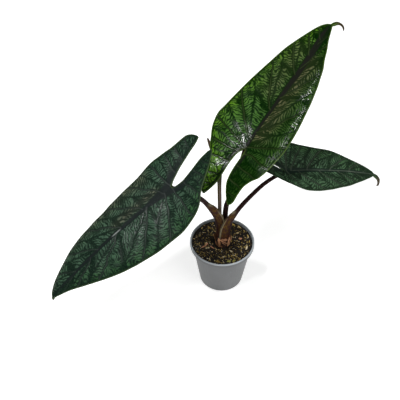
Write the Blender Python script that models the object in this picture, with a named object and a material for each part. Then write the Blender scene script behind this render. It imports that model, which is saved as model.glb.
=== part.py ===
"""A young alocasia in a small nursery pot: three sagittate leaves and a rolled new one.

Metres, +Z up. The origin is the centre of the pot's base, on the surface that it stands on.
Each leaf is a blade and a petiole whose lower part widens into a sheath. A blade is drawn flat,
as half-widths along its midrib, and then bent: a point goes along the midrib's curve and out
along a half-section that leaves the midrib at an angle and arches down.
"""
import math
from dataclasses import dataclass

import bmesh
import bpy
import numpy as np

MM = 0.001
GAP = 0.3 * MM

# Pot
POT_HEIGHT = 50.0 * MM
RIM_RADIUS = 30.0 * MM
COLLAR_HEIGHT = 4.0 * MM
WALL_TOP_RADIUS = 27.4 * MM
BASE_RADIUS = 20.6 * MM
POT_WALL = 1.1 * MM
FOOT_RECESS = 0.9 * MM
BASE_DISC_RADIUS = 8.0 * MM
FOOT_INNER_RADIUS = 17.4 * MM
POT_SIDES = 48
DRAIN_HOLES = 6
DRAIN_RADIUS = 1.6 * MM
DRAIN_CIRCLE = 12.8 * MM

# Soil and the stem base that stands in it
SOIL_EDGE = 47.3 * MM
SOIL_CENTRE = 45.9 * MM
SOIL_SIDES = 48
SOIL_RINGS = 8
LUMPS = 90
LUMP_SEED = 11
STEM_AXIS = (0.5 * MM, 0.7 * MM)
STEM_RADIUS = 5.9 * MM
STEM_TOP = 56.7 * MM
STEM_FOOT = 28.0 * MM
SCALE_TOP = 60.6 * MM      # top of the dry scales in front of the sheaths' feet
SCALE_FRONT = math.radians(278.0)

# Blades. From here on leaves are drawn in mm, and made metres as their meshes are written
BLADE_THICKNESS = 0.7
QUILT = 0.45               # how far the blade swells between two side veins
QUILT_RAMP = 12.0          # half-width at which that swelling is full
RIB_HEIGHT = 1.5           # the midrib under the seat
RIB_HALF_WIDTH = 1.4
RIB_AT_TIP = 0.2           # share of its height that the midrib keeps at the tip
COSTA_OFFSET = 2.4         # how far a lobe's own rib runs from its inner edge
COSTA_LENGTH = 45.0
COSTA_START = 8.0          # distance over which the midrib parts into the two lobes' ribs
FOLD_RANGE = 20.0          # the blade's fold turns into the lobes' fold this far each side of the seat
ACROSS = (0.0, 0.05, 0.13, 0.27, 0.46, 0.66, 0.85, 1.0)

# Side veins from the tip to the lobe's end, as fractions of the blade's length, or of the lobe's
# where negative: where each leaves the midrib or the lobe's inner edge, and where it meets the margin
SIDE_VEINS = (
    (1.0, 1.0), (0.89, 0.95), (0.77, 0.875), (0.655, 0.79), (0.54, 0.70), (0.425, 0.60),
    (0.315, 0.495), (0.21, 0.385), (0.115, 0.28), (0.045, 0.175), (0.0, 0.065), (-0.17, -0.08),
    (-0.34, -0.31), (-0.51, -0.52), (-0.67, -0.69), (-0.83, -0.845), (-0.94, -0.95), (-1.0, -1.0),
)
TAIL_ROWS = 6
TAIL_START = 3.0           # mm before the tip where the drip tip starts to bend


@dataclass
class Leaf:
    """One leaf. Lengths are in mm and angles in degrees, measured where the petiole meets the blade."""
    seat: tuple            # where the midrib starts
    heading: float         # direction of the midrib seen from above, from +X towards +Y
    pitch: float           # slope of the midrib at the seat, up positive
    droop: float           # how much that slope falls along 100 mm toward the tip
    lobe_turn: float       # how much it grows along 100 mm toward the lobes' ends
    roll: float            # turn of the blade about its midrib, left half up positive
    fold: float            # angle at which each half leaves the midrib, up positive
    lobe_fold: float       # the same angle at the lobes
    arch: float            # how much each half bends down over 10 mm
    length: float          # from the seat to the blade's tip
    tail: float            # length of the drip tip past it
    curl: float            # angle that the drip tip bends through, downward
    hook: float            # angle that it turns through, seen from above, to the left positive
    left: tuple            # (distance along the midrib, half-width) from the tip to the lobe's end
    right: tuple
    left_sinus: tuple      # the same along the lobe's inner edge, from the seat to the lobe's end
    right_sinus: tuple
    petiole: tuple         # points along the petiole's centre, from the stem to near the seat
    radius: tuple          # (distance along the petiole, radius)
    wing: tuple            # (distance along the petiole, how far the sheath stands out of it)
    wing_side: tuple       # direction in which the sheath stands out
    tail_width: float = 1.0


LEAVES = {
    "leaf_left": Leaf(
        seat=(-44.6, -16.7, 134.1), heading=-150.3, pitch=-23.8, droop=12.5, lobe_turn=-60.0,
        roll=-10.0, fold=-8.0, lobe_fold=12.0, arch=1.5, length=138.0, tail=2.5, curl=60.0, hook=0.0,
        left=((138, 1.2), (133, 3.0), (121, 7.8), (108, 14.7), (91, 23.1), (73, 30.0), (58, 33.8),
              (36, 36.8), (18, 37.0), (3, 35.3), (-8, 32.0), (-17, 24.0), (-22, 20.0), (-29, 15.5),
              (-36, 12.0), (-42, 8.0), (-45.5, 5.6), (-47, 3.6)),
        right=((138, 1.2), (135.5, 5.0), (130, 9.9), (122, 13.8), (108, 19.4), (88, 24.6), (75, 26.2),
               (62, 27.0), (50, 28.6), (25, 31.6), (10, 33.0), (0, 31.8), (-10, 29.2), (-20, 27.2),
               (-32, 25.4), (-40, 23.8), (-45, 19.8), (-47.3, 15.4)),
        left_sinus=((0, 0), (-4, 1.4), (-10, 1.8), (-20, 0.4), (-33, -0.6), (-42, 0.6), (-47, 2.8)),
        right_sinus=((0, 0), (-3, 2.6), (-8, 5.0), (-16, 8.0), (-24, 10.0), (-34, 11.4), (-42, 12.0),
                     (-47.3, 12.8)),
        petiole=((-3.0, 1.2, 57.0), (-3.3, 1.2, 63.0), (-3.8, 1.2, 70.0), (-5.2, 1.0, 77.5),
                 (-7.5, 0.4, 84.0), (-10.1, -0.6, 90.2), (-13.0, -1.9, 96.8), (-16.3, -3.8, 104.0),
                 (-21.0, -6.0, 111.0), (-29.5, -10.2, 120.8), (-38.0, -14.2, 127.8)),
        radius=((0, 2.5), (20, 2.4), (45, 2.15), (80, 2.1), (96, 2.3)),
        wing=((0, 1.6), (10, 2.5), (20, 3.9), (30, 4.8), (38, 4.6), (42.5, 4.3), (45, 3.0), (46.8, 0.5),
              (48.5, 0.0)),
        wing_side=(0.93, -0.35, 0.12)),
    "leaf_centre": Leaf(
        seat=(17.7, 18.2, 146.6), heading=49.8, pitch=32.5, droop=6.2, lobe_turn=25.0,
        roll=0.0, fold=12.0, lobe_fold=12.0, arch=1.0, length=136.5, tail=18.0, curl=120.0, hook=-75.0,
        left=((136.5, 1.3), (134.5, 4.6), (129, 9.0), (121, 12.7), (111, 16.5), (90, 23.3), (67, 28.6),
              (43, 33.7), (24, 37.2), (16, 38.6), (5, 36.8), (-7, 31.2), (-18, 25.2), (-32, 19.0),
              (-40, 17.2), (-45.5, 16.7), (-49, 15.0), (-50.5, 13.2)),
        right=((136.5, 1.3), (131, 3.4), (122, 6.8), (110, 12.7), (100, 17.2), (91, 21.6), (82, 24.4),
               (68, 28.7), (47, 32.8), (30, 35.0), (14, 35.6), (0, 33.7), (-9, 31.8), (-17, 28.6),
               (-23, 23.0), (-30, 19.4), (-38, 18.2), (-44, 17.9), (-47, 16.8), (-48.5, 14.6)),
        left_sinus=((0, 0), (-4, 2.3), (-10, 4.2), (-21, 5.2), (-31, 5.3), (-38, 6.4), (-46, 9.2),
                    (-50.5, 11.4)),
        right_sinus=((0, 0), (-4, 1.0), (-12, 0.6), (-22, 0.0), (-31, 1.1), (-39, 4.9), (-44, 8.8),
                     (-48.5, 13.6)),
        petiole=((1.9, 3.6, 57.0), (1.9, 3.6, 66.0), (2.2, 4.1, 77.0), (2.5, 5.0, 84.6), (2.9, 6.0, 89.2),
                 (4.2, 7.4, 94.0), (8.4, 11.0, 109.0), (13.2, 15.0, 126.0)),
        radius=((0, 2.5), (20, 2.45), (32, 2.3), (40, 2.15), (80, 2.0), (92, 2.3)),
        wing=((0, 0.8), (20, 0.9), (30, 0.3), (36, 0.0)),
        wing_side=(-0.5, 0.85, 0.0)),
    "leaf_right": Leaf(
        seat=(54.6, 21.8, 117.5), heading=15.6, pitch=-9.5, droop=14.2, lobe_turn=-120.0,
        roll=16.0, fold=8.0, lobe_fold=20.0, arch=1.0, length=95.0, tail=17.5, curl=100.0, hook=-75.0,
        left=((95, 1.2), (93, 3.2), (86, 7.3), (79, 10.1), (71, 12.9), (58, 18.4), (49, 21.2),
              (35, 23.2), (21, 26.1), (12, 28.0), (0, 27.6), (-10, 24.0), (-19, 18.6), (-27, 14.8),
              (-33, 12.2), (-36, 9.8)),
        right=((95, 1.2), (91, 3.8), (84, 7.2), (74, 11.5), (60, 17.2), (48, 20.3), (37, 22.6),
               (26, 23.6), (16, 22.7), (8, 20.0), (0, 15.8), (-7, 11.4), (-14, 7.6), (-20, 4.9),
               (-26, 2.6), (-31, 0.2), (-33.5, -3.0)),
        left_sinus=((0, 0), (-4, 3.0), (-12, 6.0), (-22, 7.8), (-31, 8.6), (-36, 9.2)),
        right_sinus=((0, 0), (-4, -2.4), (-12, -5.3), (-22, -6.8), (-29, -7.0), (-33.5, -5.0)),
        petiole=((3.9, -1.9, 57.0), (4.5, -2.2, 64.0), (5.4, -2.2, 71.5), (6.7, -1.6, 77.5),
                 (9.1, -0.4, 81.8), (12.6, 2.0, 87.1), (16.7, 4.4, 91.9), (21.4, 7.1, 96.4),
                 (26.6, 9.9, 101.0), (35.0, 14.3, 107.6), (42.0, 17.4, 111.6), (48.1, 20.2, 113.8)),
        radius=((0, 2.6), (20, 2.4), (30, 2.15), (60, 1.9), (84, 1.75), (90, 1.95)),
        wing=((0, 4.4), (7, 5.0), (14, 5.0), (20, 4.2), (25, 3.2), (28.8, 2.4), (31.6, 0.4), (33.5, 0.0)),
        wing_side=(-0.86, -0.42, 0.3)),
}

# The rolled new leaf: points along its centre, and (distance along it, radius), in mm
NEW_LEAF_PATH = ((-2.3, 4.9, 57.0), (-2.6, 5.0, 75.0), (-2.9, 5.5, 86.8), (-3.3, 8.6, 101.3),
                 (-3.9, 16.2, 118.0), (-6.2, 25.6, 130.0), (-11.4, 33.4, 137.0), (-14.0, 38.6, 141.0))
NEW_LEAF_RADIUS = ((0, 1.5), (25, 1.6), (58, 1.75), (70, 2.4), (82, 2.8), (92, 2.3), (101, 1.2), (107, 0.5))


def clear_scene():
    for item in list(bpy.data.objects):
        bpy.data.objects.remove(item)


def material(name, colour, roughness):
    mat = bpy.data.materials.new(name)
    mat.use_nodes = True
    shader = mat.node_tree.nodes["Principled BSDF"]
    shader.inputs["Base Color"].default_value = (*colour, 1.0)
    shader.inputs["Roughness"].default_value = roughness
    shader.inputs["Metallic"].default_value = 0.0
    return mat


def add_object(name, vertices, faces, mat):
    mesh = bpy.data.meshes.new(name)
    mesh.from_pydata([tuple(v) for v in vertices], [], [tuple(int(i) for i in f) for f in faces])
    mesh.validate()
    mesh.materials.append(mat)
    item = bpy.data.objects.new(name, mesh)
    bpy.context.collection.objects.link(item)
    return item


def smooth_shading(item, angle=40.0):
    item.data.shade_smooth()
    item.data.set_sharp_from_angle(angle=math.radians(angle))


def smoothstep(x):
    x = np.clip(x, 0.0, 1.0)
    return x * x * (3.0 - 2.0 * x)


def through(points, x):
    """Value at x of a smooth curve through (x, y) points, with no overshoot between them."""
    table = np.array(points, float)
    xs, ys = table[np.argsort(table[:, 0])].T
    slope = np.diff(ys) / np.diff(xs)
    inner = np.where(slope[1:] * slope[:-1] > 0, 2 * slope[1:] * slope[:-1]
                     / np.where(slope[1:] + slope[:-1] == 0, 1, slope[1:] + slope[:-1]), 0.0)
    tangent = np.concatenate([slope[:1], inner, slope[-1:]])
    x = np.clip(x, xs[0], xs[-1])
    k = np.clip(np.searchsorted(xs, x, side="right") - 1, 0, len(xs) - 2)
    h = xs[k + 1] - xs[k]
    t = (x - xs[k]) / h
    return ((1 + 2 * t) * (1 - t) ** 2 * ys[k] + t * (1 - t) ** 2 * h * tangent[k]
            + t * t * (3 - 2 * t) * ys[k + 1] + t * t * (t - 1) * h * tangent[k + 1])


def space_curve(points, count):
    """count points evenly spaced along a smooth curve through points, with their distances along it."""
    points = np.array(points, float)
    chord = np.concatenate([[0.0], np.cumsum(np.linalg.norm(np.diff(points, axis=0), axis=1))])
    fine = np.linspace(0.0, chord[-1], 400)
    line = np.stack([through(np.stack([chord, points[:, k]], axis=1), fine) for k in range(3)], axis=1)
    run = np.concatenate([[0.0], np.cumsum(np.linalg.norm(np.diff(line, axis=0), axis=1))])
    even = np.linspace(0.0, run[-1], count)
    return np.stack([np.interp(even, run, line[:, k]) for k in range(3)], axis=1), even


def ring_faces(rings, sides):
    """Quads of a tube of rings, with one polygon to close each end."""
    faces = []
    for i in range(rings - 1):
        for j in range(sides):
            a, b = i * sides + j, i * sides + (j + 1) % sides
            faces.append((a, b, b + sides, a + sides))
    faces.append(tuple(reversed(range(sides))))
    faces.append(tuple(range((rings - 1) * sides, rings * sides)))
    return faces


def turned(profile, sides, centre=(0.0, 0.0), lift=None):
    """Surface turned about Z from (radius, height) points that start and end on the axis.

    lift, if given, adds a height to each point of the ring with that index; centre is where a
    profile point's ring is centred, one (x, y) for all of them or a list with one each.
    """
    angle = np.arange(sides) * 2 * math.pi / sides
    centres = np.broadcast_to(np.array(centre, float), (len(profile), 2))
    vertices, rows = [], []
    for k, (radius, height) in enumerate(profile):
        start = len(vertices)
        if radius == 0.0:
            vertices.append((*centres[k], height))
            rows.append([start] * sides)
            continue
        x = centres[k, 0] + radius * np.cos(angle)
        y = centres[k, 1] + radius * np.sin(angle)
        z = height + (lift(k, x, y) if lift else np.zeros(sides))
        vertices += list(zip(x, y, z))
        rows.append(list(range(start, start + sides)))
    faces = []
    for low, high in zip(rows[:-1], rows[1:]):
        for j in range(sides):
            corners = [low[j], low[(j + 1) % sides], high[(j + 1) % sides], high[j]]
            face = [c for i, c in enumerate(corners) if c != corners[i - 1]]
            faces.append(face)
    return vertices, faces


def close_outward(item):
    """Turns the faces of a closed mesh outward."""
    work = bmesh.new()
    work.from_mesh(item.data)
    bmesh.ops.recalc_face_normals(work, faces=work.faces)
    work.to_mesh(item.data)
    work.free()


def cut(item, cutters):
    """Takes the cutters away from item, one Boolean each, applied in order."""
    for cutter in cutters:
        step = item.modifiers.new("cut", "BOOLEAN")
        step.operation = "DIFFERENCE"
        step.solver = "EXACT"
        step.object = cutter
        graph = bpy.context.evaluated_depsgraph_get()
        mesh = bpy.data.meshes.new_from_object(item.evaluated_get(graph))
        item.modifiers.remove(step)
        item.data = mesh
        bpy.data.objects.remove(cutter)


def pot_inner(height):
    """Inner radius of the pot's tapered wall at a height below the collar."""
    return (np.interp(height, [0.0, POT_HEIGHT - COLLAR_HEIGHT], [BASE_RADIUS, WALL_TOP_RADIUS])
            - POT_WALL)


def make_pot(mat):
    collar_foot = POT_HEIGHT - COLLAR_HEIGHT
    floor = FOOT_RECESS + POT_WALL
    ledge = collar_foot + 0.5 * MM
    profile = [
        (0.0, 0.0), (BASE_DISC_RADIUS, 0.0), (BASE_DISC_RADIUS + 0.9 * MM, FOOT_RECESS),
        (FOOT_INNER_RADIUS - 0.4 * MM, FOOT_RECESS), (FOOT_INNER_RADIUS, 0.0),
        (BASE_RADIUS - 0.8 * MM, 0.0), (BASE_RADIUS, 1.2 * MM),
        (WALL_TOP_RADIUS, collar_foot - 0.4 * MM), (RIM_RADIUS - 0.3 * MM, collar_foot),
        (RIM_RADIUS, collar_foot + 0.3 * MM), (RIM_RADIUS, POT_HEIGHT - 0.5 * MM),
        (RIM_RADIUS - 0.5 * MM, POT_HEIGHT), (RIM_RADIUS - 1.0 * MM, POT_HEIGHT),
        (RIM_RADIUS - 1.3 * MM, POT_HEIGHT - 0.4 * MM), (RIM_RADIUS - 1.4 * MM, ledge + 0.6 * MM),
        (pot_inner(collar_foot) + 0.4 * MM, ledge), (pot_inner(collar_foot - 2.0 * MM), collar_foot - 2.0 * MM),
        (pot_inner(floor + 1.2 * MM), floor + 1.2 * MM), (pot_inner(floor) - 1.0 * MM, floor),
        (BASE_DISC_RADIUS, floor), (0.0, floor),
    ]
    pot = add_object("pot", *turned(profile, POT_SIDES), mat)
    close_outward(pot)
    holes = []
    for k in range(DRAIN_HOLES):
        angle = 2 * math.pi * (k + 0.55) / DRAIN_HOLES
        bpy.ops.mesh.primitive_cylinder_add(
            vertices=10, radius=DRAIN_RADIUS, depth=4 * floor,
            location=(DRAIN_CIRCLE * math.cos(angle), DRAIN_CIRCLE * math.sin(angle), floor / 2))
        holes.append(bpy.context.object)
    cut(pot, holes)
    smooth_shading(pot)


def soil_lumps():
    """Centres, radii and heights of the lumps of mix on the soil's top, from a seeded draw."""
    draw = np.random.default_rng(LUMP_SEED)
    radius = 27.0 * MM * np.sqrt(draw.uniform(0.08, 1.0, LUMPS))
    angle = draw.uniform(0.0, 2 * math.pi, LUMPS)
    size = draw.uniform(1.8, 3.6, LUMPS) * MM
    return radius * np.cos(angle), radius * np.sin(angle), size, size * draw.uniform(0.25, 0.5, LUMPS)


def soil_height(x, y):
    """Height of the lumps over the soil's mean level: the tallest of the round caps at a point."""
    cx, cy, size, tall = soil_lumps()
    near = 1 - ((x[:, None] - cx) ** 2 + (y[:, None] - cy) ** 2) / size ** 2
    return (tall * np.sqrt(np.clip(near, 0, 1))).max(axis=1) - 0.5 * MM


def make_soil(mat):
    floor = FOOT_RECESS + POT_WALL + GAP
    collar_foot = POT_HEIGHT - COLLAR_HEIGHT
    hole = STEM_RADIUS + GAP
    outer_top = RIM_RADIUS - 1.75 * MM
    profile = [(0.0, floor), (pot_inner(floor) - 1.3 * MM, floor),
               (pot_inner(floor + 1.2 * MM) - GAP, floor + 1.2 * MM),
               (pot_inner(collar_foot - 2.0 * MM) - GAP, collar_foot - 2.0 * MM),
               (pot_inner(collar_foot) + 0.1 * MM, collar_foot + 0.85 * MM),
               (outer_top, collar_foot + 1.45 * MM)]
    first_top = len(profile)
    for k in range(SOIL_RINGS + 1):
        t = k / SOIL_RINGS
        level = SOIL_CENTRE + (SOIL_EDGE + 0.5 * MM - SOIL_CENTRE) * (1 - t) ** 2
        profile.append((outer_top + (hole + 0.4 * MM - outer_top) * t, level))
    last_top = len(profile) - 1
    profile += [(hole, SOIL_CENTRE - 1.5 * MM), (hole, STEM_FOOT - GAP), (0.0, STEM_FOOT - GAP)]
    centres = []
    for k in range(len(profile)):
        share = smoothstep(np.array((k - first_top) / (last_top - first_top)))
        centres.append((STEM_AXIS[0] * share, STEM_AXIS[1] * share))

    def lift(k, x, y):
        return soil_height(x, y) if first_top < k < last_top else np.zeros(len(x))

    soil = add_object("soil", *turned(profile, SOIL_SIDES, centres, lift), mat)
    close_outward(soil)
    smooth_shading(soil, 60.0)


def make_stem_base(mat):
    profile = [(0.0, STEM_FOOT), (3.4 * MM, STEM_FOOT), (5.2 * MM, STEM_FOOT + 4 * MM),
               (STEM_RADIUS, STEM_FOOT + 10 * MM), (STEM_RADIUS, 48.0 * MM),
               (STEM_RADIUS - 0.5 * MM, 49.0 * MM), (STEM_RADIUS + 0.1 * MM, 51.0 * MM),
               (STEM_RADIUS - 0.4 * MM, 52.2 * MM), (STEM_RADIUS + 0.2 * MM, 54.6 * MM),
               (STEM_RADIUS - 0.2 * MM, STEM_TOP), (0.0, STEM_TOP)]
    stem = add_object("stem_base", *turned(profile, 24, STEM_AXIS), mat)
    close_outward(stem)
    smooth_shading(stem)


def make_dry_scales(mat):
    """A torn papery sleeve round the stem base, flared at its foot, with a ragged top edge.

    In front it reaches up round the feet of the sheaths.
    """
    sides, inner = 36, STEM_RADIUS + 0.2 * MM + GAP
    angle = np.arange(sides) * 2 * math.pi / sides
    torn = (2.2 * np.sin(2 * angle + 0.6) + 1.6 * np.abs(np.sin(2.5 * angle + 1.1)) ** 3
            + 0.9 * np.sin(7 * angle)) * MM
    front = smoothstep(np.cos(angle - SCALE_FRONT) / 0.6)
    top = np.minimum(53.4 * MM + 0.8 * torn + 7.0 * MM * front, SCALE_TOP)
    foot = SOIL_CENTRE + 1.9 * MM + 0.0 * angle
    levels = [(0.0, 0.0, 0.5), (0.0, 0.1, 1.8), (0.35, 0.25, 1.4), (0.7, 0.2, 1.5), (1.0, 0.15, 1.7),
              (1.0, 0.0, 1.1), (0.6, 0.0, 0.6), (0.3, 0.0, 0.1)]
    vertices = []
    for height, wave, out in levels:
        radius = inner + (out + wave * np.sin(5 * angle + 3 * height)) * MM
        z = foot + (top - foot) * height
        vertices += list(zip(STEM_AXIS[0] + radius * np.cos(angle), STEM_AXIS[1] + radius * np.sin(angle), z))
    faces = []
    for k in range(len(levels)):
        for j in range(sides):
            a, b = k * sides + j, k * sides + (j + 1) % sides
            c, d = (k + 1) % len(levels) * sides + (j + 1) % sides, (k + 1) % len(levels) * sides + j
            faces.append((a, b, c, d))
    scales = add_object("dry_scales", vertices, faces, mat)
    close_outward(scales)
    smooth_shading(scales)


def midrib(leaf, along):
    """Point, forward, left and up directions of the bent midrib at distances along it, in mm."""
    step = 0.25
    back = int(-min(along.min(), -1.0) / step) + 2
    ahead = int(max(along.max(), 1.0) / step) + 2
    s = np.arange(-back, ahead + 1) * step
    past_tip = np.clip((s - leaf.length + TAIL_START) / (leaf.tail + TAIL_START), 0.0, 1.0)
    slope = np.radians(leaf.pitch - leaf.droop * np.clip(s, 0, None) / 100
                       + leaf.lobe_turn * np.clip(-s, 0, None) / 100 - leaf.curl * past_tip ** 1.5)
    turn = np.radians(leaf.heading + leaf.hook * past_tip)
    forward = np.stack([np.cos(slope) * np.cos(turn), np.cos(slope) * np.sin(turn), np.sin(slope)], axis=1)
    run = np.cumsum((forward[1:] + forward[:-1]) / 2 * step, axis=0)
    line = np.concatenate([np.zeros((1, 3)), run])
    line += np.array(leaf.seat) - line[back]
    level = np.stack([-np.sin(turn), np.cos(turn), np.zeros(len(s))], axis=1)
    lift = np.cross(forward, level)
    roll = math.radians(leaf.roll)
    left = level * math.cos(roll) + lift * math.sin(roll)
    up = lift * math.cos(roll) - level * math.sin(roll)
    return [np.stack([np.interp(along, s, column[:, k]) for k in range(3)], axis=1)
            for column in (line, forward, left, up)]


def bent(leaf, along, out, side):
    """Place and normal, in mm, of flat blade points: along the midrib, and out from it on one side.

    A negative distance out lies on the other side.
    """
    point, forward, left, up = midrib(leaf, along)
    side, out = np.where(out < 0, -side, side), np.abs(out)
    share = smoothstep((FOLD_RANGE - along) / (2 * FOLD_RANGE))
    fold = np.radians(leaf.fold + (leaf.lobe_fold - leaf.fold) * share)
    curve = math.radians(leaf.arch) / 10
    lateral = (np.sin(fold) - np.sin(fold - curve * out)) / curve
    rise = (np.cos(fold - curve * out) - np.cos(fold)) / curve
    lean = (fold - curve * out) * smoothstep(out / 2.5)
    place = point + left * (side * lateral)[:, None] + up * rise[:, None]
    normal = left * (-side * np.sin(lean))[:, None] + up * np.cos(lean)[:, None]
    return place, normal


def vein_rows(leaf, lobe):
    """Start and end of each grid row along the blade, and its phase from one side vein to the next."""
    tail = leaf.length + leaf.tail * np.arange(TAIL_ROWS, 0, -1) / TAIL_ROWS
    count = np.arange(0, len(SIDE_VEINS) - 0.75, 0.5)
    rows = np.stack([np.interp(count, np.arange(len(SIDE_VEINS)), column) for column in zip(*SIDE_VEINS)])
    rows *= np.where(rows > 0, leaf.length, lobe)
    phase = np.concatenate([np.zeros(TAIL_ROWS), count % 1])
    return np.concatenate([tail, rows[0]]), np.concatenate([tail, rows[1]]), phase


def half_blade(leaf, side):
    """Upper and lower points of one half, row by row from the drip tip to the lobe's end, in mm.

    Also gives the row at the seat, where the halves part.
    """
    margin, sinus = (leaf.left, leaf.left_sinus) if side > 0 else (leaf.right, leaf.right_sinus)
    start, end, phase = vein_rows(leaf, -margin[-1][0])
    taper = 1 - 0.55 * np.clip((end - leaf.length) / leaf.tail, 0, 1)
    outer = np.where(end > leaf.length, leaf.tail_width * taper, through(margin, end))
    inner = np.where(start < 0, through(sinus, start), 0.0)
    across = np.array(ACROSS)
    along = start[:, None] + (end - start)[:, None] * across
    out = inner[:, None] + (outer - inner)[:, None] * across
    place, normal = bent(leaf, along.ravel(), out.ravel(), side)
    swell = np.sin(math.pi * phase)[:, None] * np.sin(math.pi * across) ** 0.7
    relief = QUILT * swell * smoothstep((outer - inner) / QUILT_RAMP)[:, None]
    off_rib = out - inner[:, None] - COSTA_OFFSET * smoothstep(-along / COSTA_START)
    fade = 1 - np.where(along > 0, (1 - RIB_AT_TIP) * along / leaf.length, -along / COSTA_LENGTH)
    rib = RIB_HEIGHT * np.clip(fade, 0, 1) * np.exp(-(off_rib / RIB_HALF_WIDTH) ** 2)
    rib *= smoothstep(outer / QUILT_RAMP * 3)[:, None]
    upper = place + normal * relief.ravel()[:, None]
    lower = place + normal * (relief - BLADE_THICKNESS - rib).ravel()[:, None]
    shape = (len(start), len(across), 3)
    return upper.reshape(shape), lower.reshape(shape), int(np.argmin(np.abs(start)))


def make_blade(name, leaf, mat):
    """One closed blade: both halves share the midrib's points, and their lobes part at the seat."""
    sheets = [half_blade(leaf, 1), half_blade(leaf, -1)]
    seat_row = sheets[0][2]
    rows, columns = sheets[0][0].shape[:2]
    index = np.arange(rows * columns).reshape(rows, columns)
    other = index + rows * columns
    other[:seat_row + 1, 0] = index[:seat_row + 1, 0]
    upper = np.concatenate([sheet[0].reshape(-1, 3) for sheet in sheets]) * MM
    lower = np.concatenate([sheet[1].reshape(-1, 3) for sheet in sheets]) * MM
    top = []
    for grid, turn in ((index, False), (other, True)):
        for i in range(rows - 1):
            for j in range(columns - 1):
                a, b, c, d = grid[i, j], grid[i + 1, j], grid[i + 1, j + 1], grid[i, j + 1]
                pair = ((a, b, c), (a, c, d))
                top += [tuple(reversed(f)) for f in pair] if turn else list(pair)
    count = len(upper)
    edges = {(f[k], f[(k + 1) % 3]) for f in top for k in range(3)}
    faces = list(top) + [(a + count, c + count, b + count) for a, b, c in top]
    for a, b in sorted(edges):
        if (b, a) not in edges:
            faces += [(b, a, a + count), (b, a + count, b + count)]
    used = sorted({int(i) for f in faces for i in f})
    place = {old: new for new, old in enumerate(used)}
    vertices = np.concatenate([upper, lower])[used]
    blade = add_object(name, vertices, [[place[int(i)] for i in f] for f in faces], mat)
    close_outward(blade)
    smooth_shading(blade, 60.0)


def seat_plane(leaf):
    """Point just under the blade's rib at the seat, and the blade's normal there."""
    point, _, _, up = midrib(leaf, np.array([0.0]))
    return point[0] - up[0] * (BLADE_THICKNESS + RIB_HEIGHT + GAP / MM), up[0]


def onto_plane(ring, centre, direction, normal):
    """Slides a ring's points along direction until they lie in the plane through centre."""
    return ring - np.outer((ring - centre) @ normal / (direction @ normal), direction)


def stalk(name, path, radius, wing, wing_side, ends, mat, extra=0.0, sides=14, rings=22):
    """A tube along path whose section bulges to one side by wing, closed by flat ends.

    radius and wing are (distance, size) points in mm. ends holds the plane normals of the foot and
    the top. extra fattens the tube all round, for a copy that clears its neighbours.
    """
    line, run = space_curve(path, rings)
    tangent = np.gradient(line, axis=0)
    tangent /= np.linalg.norm(tangent, axis=1)[:, None]
    wide = through(radius, run * radius[-1][0] / run[-1]) + extra
    stand = through(wing, run)
    angle = np.arange(sides) * 2 * math.pi / sides
    vertices = []
    for k in range(rings):
        x = np.array(wing_side) - tangent[k] * (np.array(wing_side) @ tangent[k])
        x /= np.linalg.norm(x)
        y = np.cross(tangent[k], x)
        bulge = stand[k] * np.clip(np.cos(angle), 0, None) ** 1.4
        flat = 1 - 0.12 * np.clip(stand[k] / 5.0, 0, 1)
        ring = line[k] + np.outer(wide[k] * np.cos(angle) + bulge, x) + np.outer(wide[k] * flat * np.sin(angle), y)
        if k == 0:
            ring = onto_plane(ring, line[k], tangent[k], np.array(ends[0], float))
        if k == rings - 1:
            ring = onto_plane(ring, line[k], tangent[k], np.array(ends[1], float))
        vertices.append(ring)
    item = add_object(name, np.concatenate(vertices) * MM, ring_faces(rings, sides), mat)
    close_outward(item)
    return item


def petiole_of(name, leaf, mat, extra=0.0):
    top, normal = seat_plane(leaf)
    path = (*leaf.petiole, tuple(top))
    return stalk(name, path, leaf.radius, leaf.wing, leaf.wing_side, ((0, 0, 1), normal), mat, extra)


def new_leaf_of(name, mat, extra=0.0):
    return stalk(name, NEW_LEAF_PATH, NEW_LEAF_RADIUS, ((0, 0.0), (104, 0.0)), (0.0, -1.0, 0.0),
                 ((0, 0, 1), (-0.7, 0.6, 0.3)), mat, extra, sides=10)


def make_stalks(petiole_mat, new_leaf_mat):
    """The sheaths clasp one another: the right one is outermost, and each further one gives way."""
    order = ("leaf_right", "leaf_left", "leaf_centre")
    clear = GAP / MM * 1.3
    for k, name in enumerate(order):
        item = petiole_of(name + "_petiole", LEAVES[name], petiole_mat)
        cut(item, [petiole_of("guide", LEAVES[other], petiole_mat, clear) for other in order[:k]])
        smooth_shading(item, 50.0)
    rolled = new_leaf_of("new_leaf", new_leaf_mat)
    cut(rolled, [petiole_of("guide", LEAVES[other], petiole_mat, clear) for other in order])
    smooth_shading(rolled, 50.0)


def main():
    clear_scene()
    plastic = material("grey pot plastic", (0.155, 0.165, 0.17), 0.5)
    mix = material("potting mix", (0.03, 0.02, 0.012), 0.95)
    bark = material("stem skin", (0.09, 0.04, 0.02), 0.8)
    papery = material("dry scale", (0.33, 0.16, 0.1), 0.8)
    stem = material("dark petiole", (0.03, 0.012, 0.012), 0.45)
    rolled = material("rolled leaf", (0.09, 0.07, 0.03), 0.5)
    make_pot(plastic)
    make_soil(mix)
    make_stem_base(bark)
    make_dry_scales(papery)
    make_stalks(stem, rolled)
    greens = {"leaf_left": (0.02, 0.04, 0.026), "leaf_centre": (0.022, 0.065, 0.012),
              "leaf_right": (0.015, 0.04, 0.018)}
    for name, leaf in LEAVES.items():
        make_blade(name + "_blade", leaf, material(name.replace("_", " "), greens[name], 0.35))


main()
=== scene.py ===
"""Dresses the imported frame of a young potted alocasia: blades, stalks, stem, potting mix and stage.

The file is laid out as a Blender add-on and is run as a script. Each leaf is drawn as the frame's
solid is, as half-widths along a midrib, bent along it and across it, and gets its net of veins
here. Leaves are worked out in mm, and a mesh is written in metres on the frame's own origin.
"""
import math
from typing import NamedTuple

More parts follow.
